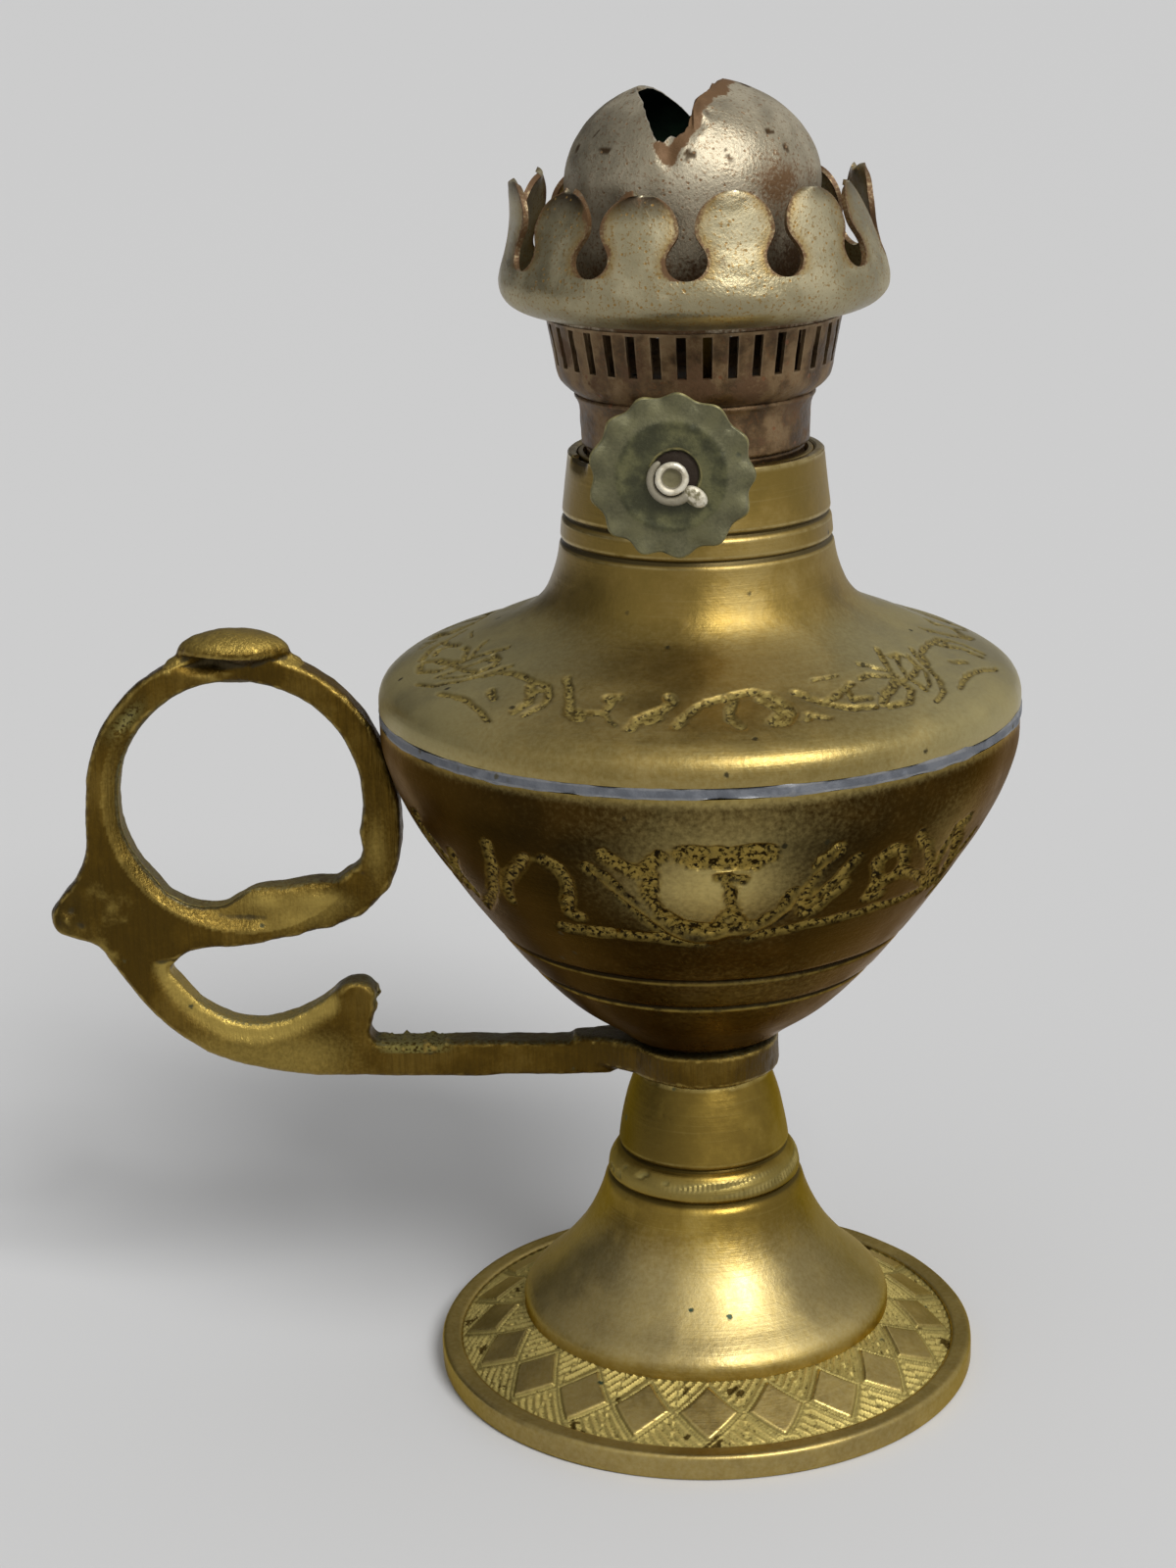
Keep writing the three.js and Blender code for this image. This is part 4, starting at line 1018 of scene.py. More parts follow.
@dataclass
class Handle:
    """Cast handle: eye, arm, broken thorn, tail, knob, finger ring and thumb rest."""

    ring_x: float = -49.565
    ring_z: float = 66.1
    hole: float = 13.3
    ring: float = 16.65
    arm: float = 34.12
    rise: float = 15.33
    depth: float = 3.8
    bevel: float = 0.75
    eye: float = 8.4
    eye_levels: tuple[float, float] = (35.02, 38.62)
    voxel: float = 0.22
    leaf: tuple = (
        (-0.64, -0.8), (-0.476, -0.89), (-0.31, -0.91), (-0.19, -0.9), (-0.09, -0.85),
        (0.07, -0.765), (0.3, -0.735), (0.6, -0.69), (0.74, -0.69), (0.85, -0.62), (0.955, -0.53),
        (0.995, -0.41))
    under: tuple = (
        (-0.49, -1.12), (-0.44, -1.07), (0.02, -0.99), (0.36, -0.92), (0.64, -0.84), (0.83, -0.73),
        (0.94, -0.6), (1.01, -0.42), (1.04, -0.25), (1.035, -0.02))
    knob: tuple = (
        (-1.02, -0.1), (-1.04, -0.38), (-1.115, -0.53), (-1.25, -0.69), (-1.285, -0.8),
        (-1.25, -0.885), (-1.16, -0.925), (-0.99, -1))
    tail_out: tuple = (
        (-0.9, 0.86), (-0.8, 0.7), (-0.61, 0.44), (-0.36, 0.23), (-0.05, 0.085), (0.27, 0.02),
        (0.67, 0))
    tail_in: tuple = (
        (-0.52, 0.844), (-0.45, 0.7), (-0.24, 0.485), (0.02, 0.405), (0.21, 0.44), (0.48, 0.575))
    thorn: tuple = ((0.67, 0.725), (0.75, 0.72), (0.84, 0.62), (0.805, 0.46), (0.775, 0.33))

    def at_ring(self, shares: Sequence, radius: float) -> Grid:
        """Turn shares of a radius round the ring's middle into places."""
        return np.array([self.ring_x, self.ring_z]) + np.asarray(shares) * radius

    def at_tail(self, shares: Sequence) -> Grid:
        """Turn shares along the tail into places."""
        return np.array([self.ring_x, self.arm]) + np.asarray(shares) * [self.ring, self.rise]

    def outlines(self) -> list[Grid]:
        """Return the casting's outline and the finger hole's.

        Formula: smooth curves through measured places, joined by arcs of the ring's circles.
        """
        middle = (self.ring_x, self.ring_z)
        top = self.arm + 3.95
        outside = outline_of(
            [(-4, top), (-4, 35.02), (-8.2, 35.02)],
            smooth_curve([(-10.3, self.arm), *self.at_tail(self.tail_out[::-1]),
                          *self.at_ring(self.knob[::-1], self.ring)], 160),
            arc(middle, self.ring, 176, 12, 90),
            smooth_curve([*self.at_ring(self.under[::-1], self.ring), *self.at_tail(self.tail_in),
                          *self.at_tail(self.thorn)], 170),
            [(self.at_tail(self.thorn)[-1, 0] + 0.6, top)])
        hole = outline_of(arc(middle, self.hole, -16, 214, 110),
                          smooth_curve(self.at_ring(self.leaf, self.hole), 70))
        return [outside, hole[:-1]]

    def slab(self) -> Piece:
        """Return the flat casting with rounded edges, from its outlines."""
        curve = bpy.data.curves.new("handle_outline", "CURVE")
        curve.dimensions = "2D"
        curve.fill_mode = "BOTH"
        curve.extrude = (self.depth / 2 - self.bevel) * MM
        curve.bevel_depth = self.bevel * MM
        curve.bevel_resolution = 3
        curve.offset = -self.bevel * MM
        for line in self.outlines():
            spline = curve.splines.new("POLY")
            spline.points.add(len(line) - 1)
            rows = np.c_[(line[:, 0] + AXIS_X) * MM, line[:, 1] * MM, np.zeros(len(line)),
                         np.ones(len(line))]
            spline.points.foreach_set("co", rows.ravel())
            spline.use_cyclic_u = True
        draft = linked("handle_draft", curve)
        mesh = evaluated(draft)
        bpy.data.objects.remove(draft)
        bpy.data.curves.remove(curve)
        x, y, z = read_values(mesh.vertices, "co").T
        mesh.vertices.foreach_set("co", np.c_[x, -z, y].ravel())
        return linked("handle_casting", mesh)

    def rest(self) -> Surface:
        """Return the thumb rest: a long lens, round above and pinched below.

        Formula: a turned half-round outline, stretched along X and narrowed along Y.
        """
        line = outline_of([(0, -0.35), (0.7, -0.3)], arc((0.0, 0), 1, 0, 90, 16))
        lens = turned(line, 72, closed=False)
        x, y, z = lens.points.T
        pinch = 1 - 0.35 * np.abs(x) ** 3
        lens.points = np.c_[self.ring_x + 0.1 + x * 6.15, y * 3.7 * pinch, 82.3 + z * 2.6]
        return lens

    def lump(self, place: Sequence[float], size: Sequence[float]) -> Surface:
        """Return a round lump: a ball scaled to its size."""
        lump = ball()
        lump.points = lump.points * size + place
        return lump

    def widening(self) -> Surface:
        """Return the block that widens the arm into the eye.

        Formula: sections of eight corners along X, whose half width grows with the square of
        the share passed.
        """
        share = np.linspace(0, 1, 10)[:, None]
        half = 1.75 + 2.85 * share**2
        low, high, cut = 35.05, 38.55, 0.5
        y = np.hstack([cut - half, half - cut, half, half, half - cut, cut - half, -half, -half])
        z = np.array([low, low, low + cut, high - cut, high, high, high - cut, low + cut])
        block = over_grid(stacked(-14.2 + 7.4 * share, y, z))
        block.caps = [list(range(8))[::-1], list(range(72, 80))]
        return block

    def build(self) -> None:
        """Cast the handle: join its parts, remesh, then roughen it along its normals."""
        soft = 0.4
        low, high = self.eye_levels
        eye = outline_of([(0, low), (self.eye - 0.5, low)],
                         arc((self.eye - soft, low + soft), soft, -90, 0, 4),
                         arc((self.eye - soft, high - soft), soft, 0, 90, 4), [(0, high)])
        obj = self.slab()
        knob = self.at_ring([(-1.17, -0.79)], self.ring)[0]
        top = (self.ring_x + 0.1, 0, self.ring_z + 14.9)
        extras = [turned(eye, 96, closed=False), self.widening(), self.rest(),
                  self.lump(top, (7.6, 2.1, 2.0)), self.lump((knob[0], 0, knob[1]), (2.2, 2.25, 2.0)),
                  self.lump((knob[0] + 3.2, 0, knob[1] - 1.4), (2.6, 2.2, 2.2))]
        others = [SHOP.mesh(f"handle_part_{i}", part) for i, part in enumerate(extras)]
        with bpy.context.temp_override(active_object=obj, selected_editable_objects=[obj, *others]):
            bpy.ops.object.join()
        SHOP.apply(obj, "REMESH", mode="VOXEL", voxel_size=self.voxel * MM, use_smooth_shade=True)
        self.roughen(obj.data)
        SHOP.finish(obj, CAST_BRASS, Body.FONT, Slot.CAST, "handle", sharp=180)

    def patch(self, place: Grid, x: float, z: float, wide: float, tall: float,
              lean: float) -> Grid:
        """Return a soft patch on the casting's face: a bell curve over a leaning ellipse.

        Args:
            place: places, an array of rows of three.
            x: the patch's middle along X from the ring's middle.
            z: its middle along Z from the ring's middle.
            wide: its half width.
            tall: its half height.
            lean: how far it leans, in degrees.

        Returns:
            Values from 0 to 1.
        """
        turn = math.radians(lean)
        right, up = place[:, 0] - self.ring_x - x, place[:, 2] - self.ring_z - z
        along = right * math.cos(turn) + up * math.sin(turn)
        across = up * math.cos(turn) - right * math.sin(turn)
        return bell((along, 0, wide), (across, 0, tall))

    def roughen(self, mesh: bpy.types.Mesh) -> None:
        """Move the casting's points along their normals.

        Formula: three sizes of noise, stronger on the thorn's broken side and the knob; the arm
        gets thinner towards the thorn, and a hollow lies under the thumb rest.

        Args:
            mesh: the remeshed casting, in metres.
        """
        edges = read_values(mesh.edges, "vertices", 2, np.int32)
        place = lamp_places(mesh.vertices)
        for _ in range(3):
            place = neighbour_mean(place, edges)
        normal = read_values(mesh.vertex_normals, "vector")
        x, y, z = place.T
        right, up = x - self.ring_x, z - self.ring_z
        thorn = self.at_tail([(0.86, 0.55)])[0]
        near = np.hypot(x - thorn[0] - 0.4, z - thorn[1])
        broken = (1 - ramp(near, 2.2, 4.2)) * ramp(x, thorn[0] - 1.2, thorn[0] + 0.2)
        crumbs = (1 - ramp(np.hypot((x - thorn[0] - 3.5) / 2, z - 38.2), 1, 2.6)) * (z > 37)
        knob = self.at_ring([(-1.08, -0.85)], self.ring)[0]
        pores = 1 - ramp(np.hypot(x - knob[0] - 1.5, z - knob[1]), 2.5, 6.5)
        round_ring = np.hypot(right, up)
        pit = bell((right, -2.6, 2.4), (z, 81.3, 0.75))
        height = 0.1 * noise(place, 4, 21, 2) + 0.04 * noise(place, 0.9, 22, 2)
        height += broken * (0.5 * noise(place, 1.0, 23, 3) - 0.2)
        height += crumbs * 0.45 * ramp(noise(place, 0.8, 24, 2), 0.1, 0.9)
        height -= pores * 0.3 * ramp(noise(place, 2.4, 25, 2), 0.1, 1.1)
        height -= 1.5 * pit * (y < -1.2)
        flaw = self.patch(place, -11.6, 9.3, 2.2, 0.8, 45)
        lobes = self.patch(place, 1.9, -11.5, 2.2, 1.0, 0) + self.patch(place, 8.4, -11.1, 3, 1, 0)
        height += (0.4 * lobes - 0.6 * flaw) * (y < -1.2)
        ripples = ramp(round_ring, 12.8, 14.6) * (z < 58) * ramp(z, 49, 51)
        ripples *= ramp(x, self.ring_x - 6, self.ring_x + 2)
        height += ripples * 0.14 * np.sin(x * 1.5 + 0.6 * z) * (np.abs(y) > 1)
        turn = np.arctan2(up, right)
        low_left = ramp(-np.cos(turn - 0.9), -0.1, 0.5)
        slope = (1 - ramp(round_ring, 13.2, 14.9)) * low_left * (z > 50)
        slope *= 1 - ramp(x, self.ring_x - 1, self.ring_x + 5)
        curve = smooth_curve(self.at_tail(self.tail_in), 50)
        tail = np.min([np.hypot(x - a, z - b) for a, b in curve], axis=0)
        inner_tail = (1 - ramp(tail, 0.9, 2.6)) * (z < 48) * (x < thorn[0] - 4)
        slope += 0.35 * inner_tail
        place = place + normal * height[:, None]
        place[:, 1] += 1.0 * np.clip(slope, 0, 1) * (y < -0.9) * (1 - ramp(normal[:, 1], -0.9, 0.2))
        place[:, 1] *= 1 - 0.1 * ramp(place[:, 2], 60, 75) * (1 - ramp(place[:, 2], 79, 81))
        set_places(mesh, place)
        inward = -(normal[:, 0] * right + normal[:, 2] * up) / round_ring
        side = ramp(inward, 0.3, 0.8) * (z > 48) + ramp(normal[:, 2], 0.4, 0.8) * (z < 48)
        soft = 0.5 + 0.5 * noise(place, 3, 26, 3)
        # The tone value is partly painted highlight: along the inner tail, on the lobes and on the
        # upward faces at the top; the other terms are paler patches.
        pale = 0.8 * inner_tail + 0.55 * ramp(-z, -41.5, -37) * (1 - ramp(x, -44, -34))
        pale += 0.6 * ramp(normal[:, 2], 0.1, 0.7) * (z > 81) + 0.5 * lobes
        pale += 0.45 * self.patch(place, 7, -13.2, 5, 1.6, 12)
        pale += 0.5 * self.patch(place, 14.6, -5.5, 1.3, 4, 0)
        pale += 0.6 * pores * ramp(soft, 0.35, 0.9) + 0.35 * low_left * (round_ring < 15) * (z > 50)
        # The shade value is painted shade at the knob's left end.
        write_values(mesh, {"carved": np.clip(broken + crumbs + 0.8 * flaw, 0, 1),
                            "stain": np.clip(0.5 * side * (z < 80), 0, 1),
                            "tone": np.clip(pale, 0, 0.95),
                            "shade": 0.6 * self.patch(place, -20, -12.6, 3.2, 3.5, 0)})
        mesh.update()


# Font

BOWL_CUTS = (
    (16, (800, 65), (980, 70)), (8, (820, 85), (960, 92)), (8, (900, 118), (908, 200)),
    (6, (875, 118), (930, 125)), (7, (908, 195), (875, 250)), (9, (908, 195), (935, 245)),
    (12, (735, 110), (725, 160), (745, 205), (790, 240), (850, 252), (910, 255), (980, 245),
     (1030, 215), (1050, 170)),
    (9, (600, 105), (640, 130), (670, 175), (720, 230), (790, 272)),
    (10, (1135, 75), (1100, 100), (1080, 140), (1075, 190), (1090, 220)),
    (5, (1090, 215), (1185, 100)), (5, (1110, 225), (1170, 160)),
    (7, (1255, 110), (1280, 100), (1315, 115), (1330, 150), (1310, 175), (1275, 180),
     (1262, 210), (1300, 215)),
    (7, (1240, 120), (1262, 165), (1255, 210)),
    (7, (1345, 85), (1400, 130), (1440, 175), (1480, 205), (1540, 250)),
    (5, (1330, 165), (1400, 190), (1450, 215), (1510, 245)),
    (6, (1520, 90), (1480, 100), (1465, 140), (1480, 190), (1530, 235), (1560, 245)),
    (12, (1500, 120), (1540, 160), (1560, 210)),
    (8, (495, 100), (530, 115), (540, 150), (525, 190), (510, 230), (540, 235)),
    (10, (640, 70), (700, 110), (760, 70)),
    (8, (350, 90), (335, 140), (300, 190), (250, 240), (160, 285)),
    (6, (450, 100), (380, 160), (340, 200), (330, 230)), (10, (180, 150), (140, 200), (150, 250)),
    (7, (460, 275), (610, 270)), (6, (640, 270), (740, 275), (840, 285)),
    (4, (960, 280), (1000, 270), (1100, 258), (1300, 250), (1500, 250)))
BOWL_RIDGES = (
    (8, (610, 110), (650, 150), (690, 190), (730, 228), (760, 255), (790, 272), (830, 282),
     (870, 276), (900, 266), (960, 262), (1010, 238), (1045, 205), (1060, 170), (1080, 125),
     (1130, 80)),)
SHOULDER_CUTS = (
    (6, (75, 92), (120, 95), (135, 115), (120, 150), (60, 165), (0, 170)),
    (6, (205, 100), (160, 140), (120, 190), (60, 240), (0, 268)),
    (3, (150, 110), (110, 170), (40, 215)),
    (7, (160, 155), (200, 128), (260, 118), (330, 125), (400, 135), (435, 165), (440, 200),
     (420, 240)),
    (10, (345, 140), (370, 165), (395, 195), (385, 235)), (7, (370, 160), (400, 150)),
    (7, (120, 255), (170, 240), (230, 238), (290, 258), (345, 290)), (8, (250, 190), (290, 210)),
    (9, (440, 100), (470, 130), (500, 170), (530, 215), (560, 225)), (16, (530, 210), (548, 212)),
    (8, (560, 205), (610, 195), (615, 160), (590, 145), (630, 140)), (3, (610, 195), (650, 240)),
    (12, (690, 245), (695, 215), (720, 195), (755, 175), (768, 150), (762, 130)),
    (18, (722, 208), (738, 202)), (9, (790, 232), (810, 195), (835, 168), (865, 155)),
    (9, (865, 150), (900, 140), (930, 150), (915, 180), (912, 215), (935, 238)),
    (9, (930, 132), (985, 122), (1030, 138), (1060, 175), (1062, 210), (1035, 235), (1005, 232),
     (1020, 215), (1045, 200)), (10, (1000, 150), (1035, 185)),
    (9, (1105, 140), (1135, 165), (1170, 195), (1220, 215), (1270, 225)),
    (7, (1150, 185), (1200, 170), (1250, 150), (1280, 140)),
    (6, (1250, 150), (1240, 190), (1285, 195)), (5, (1090, 235), (1100, 215), (1140, 240)),
    (6, (1320, 130), (1355, 122), (1400, 140), (1440, 150)),
    (10, (1300, 222), (1335, 195), (1380, 180), (1420, 165)),
    (8, (1310, 235), (1370, 240), (1420, 205), (1425, 165)),
    (5, (1370, 82), (1410, 110), (1445, 135)), (7, (1515, 62), (1470, 100), (1440, 135)),
    (6, (1460, 220), (1470, 170), (1510, 115), (1560, 95)), (2, (1180, 105), (1260, 105)))


@dataclass(frozen=True)
class Band:
    """A drawn band round the font: its outline, strokes and how it is cut."""

    outline: tuple[tuple[float, float], ...]
    cuts: tuple
    ridges: tuple
    depth: float
    rise: float
    widen: float
    tall: float = 300
    front: float = 840
    per_degree: float = 12
    repeat: float = 120
    soft: float = 4
    wander: float = 3.5

    def relief(self, place: Grid, turn: Grid, radius: Grid, level: Grid) -> tuple[Grid, Grid]:
        """Return the band's height and its carved share.

        Formula: angle and length along the outline give a place on the drawing, and its stroke
        masks lower the floor or raise a ridge; noise breaks up the floor.

        Args:
            place: places, with X, Y and Z on the last axis.
            turn: angles round the axis.
            radius: radii.
            level: levels.

        Returns:
            Heights in millimetres and shares from 0 to 1.
        """
        height, carved = np.zeros((2, *turn.shape))
        knots = np.asarray(self.outline, float)
        length = np.r_[0, np.cumsum(np.linalg.norm(np.diff(knots, axis=0), axis=1))]
        outside = radius > np.interp(level, knots[:, 1], knots[:, 0]) - 0.6
        inside = (level > knots[0, 1]) & (level < knots[-1, 1]) & outside
        across = (np.degrees(turn[inside]) + 270) % 360 - 180
        along = self.tall * (1 - np.interp(level[inside], knots[:, 1], length) / length[-1])
        drawing = np.c_[self.front + across * self.per_degree, along]
        spot = place[inside]
        wander = np.c_[noise(spot, 1.2, 31, 2), noise(spot, 1.2, 32, 2)] * self.wander
        period = self.repeat * self.per_degree
        cut = stroke_mask(drawing + wander, self.cuts, period, self.soft, self.widen)
        ridge = stroke_mask(drawing, self.ridges, period, self.soft) if self.ridges else 0 * cut
        rough = noise(spot, 0.5, 33, 3)
        cut = cut * (1 - ridge)
        height[inside] = -self.depth * cut * (0.85 + 0.3 * rough) + self.rise * ridge
        carved[inside] = np.clip(cut * (0.9 + 0.4 * rough), 0, 1)
        return height, carved


@dataclass
class Font:
    """Oil font: turned bowl and shoulder, solder seam and threaded collar."""

    radius: float = 34
    wall: float = 1.4
    bowl_levels: tuple[float, float] = (38.64, 75.84)
    shoulder_levels: tuple[float, float] = (76.98, 103.68)
    neck: float = 13.3
    bowl_grooves: tuple[float, float] = (48.61, 52.78)
    neck_grooves: tuple[float, float] = (94.4, 97.05)
    bowl_shares: tuple = (
        (0, 0), (0.074, 0.011), (0.176, 0.065), (0.32, 0.145), (0.458, 0.253), (0.57, 0.36),
        (0.676, 0.468), (0.785, 0.589), (0.891, 0.718), (0.968, 0.844), (0.996, 0.925), (1, 1))
    shoulder_shares: tuple = (
        (1, 0), (0.998, 0.049), (0.976, 0.094), (0.932, 0.127), (0.855, 0.161), (0.734, 0.199),
        (0.614, 0.232), (0.493, 0.273), (0.372, 0.311), (0.275, 0.345), (0.193, 0.386),
        (0.13, 0.442), (0.092, 0.506), (0.07, 0.56), (0.036, 0.755), (0, 1))
    bowl_band: Band = Band(
        ((26.2, 58), (26.8, 58.9), (29.3, 63), (31.7, 67.5), (33.0, 70.5), (33.9, 73.5)),
        BOWL_CUTS, BOWL_RIDGES, depth=0.45, rise=0.16, widen=4)
    shoulder_band: Band = Band(
        ((30.5, 80.9), (28.5, 81.7), (25, 83.3), (22, 84.9), (20, 86.2)),
        SHOULDER_CUTS, (), depth=0.3, rise=0, widen=1)

    def lines(self, shares: tuple, radii: tuple[float, float],
              levels: tuple[float, float]) -> tuple[Grid, Grid]:
        """Return a shell's fine outer line and its coarse inner line, a wall further in."""
        knots = between(shares, radii, levels)
        return smooth_curve(knots, 1500), inset(smooth_curve(knots, 34), self.wall)

    def bowl(self) -> Surface:
        """Return the bowl: a turned shell with two grooves and the deep scroll band."""
        outer, inner = self.lines(self.bowl_shares, (5.6, self.radius), self.bowl_levels)
        level = outer[:, 1]
        pace = np.where((level > 57) & (level < 74), 0.2,
                        np.where(np.abs(level - 50.7) < 3, 0.22, 0.6))
        outer = paced(outer, pace)
        for groove in self.bowl_grooves:
            outer = grooved(outer, groove, 0.42, 0.3)
        inner = inner[(inner[:, 1] > 40.4) & (inner[:, 1] < 75.5)][::-1]
        line = outline_of([(2.25, 38.64)], outer, [(32.8, 75.84)], inner,
                          [(inner[-1, 0], 40.34), (2.25, 40.34)])

        def relief(place: Grid, turn: Grid, radius: Grid, level: Grid) -> Looks:
            """Cut the scroll band and dent the brass a little."""
            height, carved = self.bowl_band.relief(place, turn, radius, level)
            return height + 0.05 * noise(place, 8, 41, 3), carved, 0 * carved

        shell = turned(line, 640, relief)
        turn, _, level = polar(shell.points)
        turn = np.degrees(turn)
        carved = shell.fields["carved"]
        # Painted shade and painted dark reflection: darker low down, on the left and across the scroll
        # band.
        band = ramp(level, 57, 59) * (1 - ramp(level, 70, 74))
        left = ramp(-np.cos(np.radians(turn) - 0.5), 0, 1)
        shade = 0.3 * (1 - ramp(level, 42, 60)) + 0.3 * left + 0.5 * band
        shade *= 0.85 + 0.4 * noise(shell.points, 6, 42, 2)
        # Painted highlight on the front of the band, which also keeps the painted shade off it.
        pale_and_sheen = 0.8 * bell((turn, -88, 17), (level, 66, 6))
        shell.fields["shade"] = np.clip(shade, 0, 0.8) * (1 - carved) * (1 - np.clip(pale_and_sheen, 0, 1))
        # Painted highlight on the band's right and above its front, a paler ring under the seam, and a
        # painted reflection low at the front.
        pale_and_sheen += 0.5 * bell((turn, -38, 9), (level, 68, 4))
        pale_and_sheen += 0.2 * bell((turn, -84, 24)) * ramp(level, 68, 72)
        pale_and_sheen += 0.4 * ramp(level, 74.6, 75.8)
        pale_and_sheen += 0.3 * ramp(-level, -58, -50) * bell((turn, -80, 30))
        shell.fields["tone"] = np.clip(pale_and_sheen, 0, 1) * (1 - 0.8 * carved)
        return shell

    def shoulder(self) -> Surface:
        """Return the shoulder and neck: a turned shell with the shallow band and two grooves."""
        outer, inner = self.lines(self.shoulder_shares, (self.neck, self.radius),
                                  self.shoulder_levels)
        level = outer[:, 1]
        pace = np.where((level > 80.6) & (level < 86.6), 0.18,
                        np.where((level > 93.5) & (level < 98), 0.2, 0.55))
        outer = paced(outer[:-8], pace[:-8])
        for groove in self.neck_grooves:
            outer = grooved(outer, groove, 0.38, 0.28)
        inner = inner[(inner[:, 1] < 97) & (inner[:, 1] > 77.3) & (inner[:, 0] > 12.35)][::-1]
        line = outline_of(outer, arc((13.0, 103.4), 0.28, 0, 90, 4), [(12.55, 103.68)],
                          spaced([(12.35, 103.5), (12.35, 97.4)], 0.8), inner, [(32.6, 76.98)])

        def relief(place: Grid, turn: Grid, radius: Grid, level: Grid) -> Looks:
            """Engrave the band, dent the brass and knock in the rim at one place."""
            height, carved = self.shoulder_band.relief(place, turn, radius, level)
            knock = (np.cos(turn - math.radians(205)) - 0.985) / 0.015
            knock = np.clip(knock, 0, 1) * ramp(level, 102, 103.5)
            return height + 0.05 * noise(place, 9, 51, 3) - 0.5 * knock, carved, 0 * carved

        shell = turned(line, 640, relief)
        _, reach, level = polar(shell.points)
        front = -shell.points[:, 1] / reach
        # Paler low on the shoulder; that it is paler at the sides than at the front is a painted
        # reflection.
        pale_and_sheen = (1 - ramp(level, 84, 91)) * (0.8 - 0.5 * ramp(front, 0.5, 1))
        shell.fields["tone"] = pale_and_sheen * (1 - 0.7 * shell.fields["carved"])
        return shell

    def seam(self) -> Surface:
        """Return the solder line: a turned ring whose face swells and sinks with noise."""
        line = outline_of([(32.9, 75.86)], spaced([(34.02, 75.86), (34.02, 76.96)], 0.14),
                          [(32.9, 76.96)])

        def relief(place: Grid, turn: Grid, radius: Grid, level: Grid) -> Looks:
            """Let the outer face swell, and stain it in patches."""
            face = radius > 33.5
            swell = 0.14 * noise(place, 3, 61, 3) + 0.12 * ramp(noise(place, 1.4, 62), 0.4, 0.9)
            dirt = ramp(noise(place, 2.6, 63, 3), 0.35, 1.0)
            return swell * face, 0 * turn, 0.8 * dirt

        return turned(line, 720, relief)

    def collar(self) -> Surface:
        """Return the threaded collar in the neck: a turned ring with thread ridges inside."""
        line = outline_of([(11.6, 97.48), (12.25, 97.48)],
                          spaced([(12.25, 97.6), (12.25, 103.3)], 0.9),
                          arc((12.0, 103.38), 0.25, 0, 90, 3), [(11.7, 103.63)],
                          thread(np.linspace(103.2, 97.8, 60), 11.5, 0.14, 0.9))
        return turned(line, 128)

    def build(self) -> None:
        """Make and dress the font."""
        for name, surface, metal, slot, node in (
                ("bowl_shell", self.bowl(), BOWL_BRASS, Slot.AGED, "bowl"),
                ("shoulder_shell", self.shoulder(), SHOULDER_BRASS, Slot.PALE, "shoulder"),
                ("solder_line", self.seam(), SOLDER_GREY, Slot.SOLDER, "solder_seam"),
                ("collar_ring", self.collar(), SHOULDER_BRASS, Slot.PALE, "neck_collar")):
            SHOP.make(name, surface, metal, Body.FONT, slot, node)


# Burner


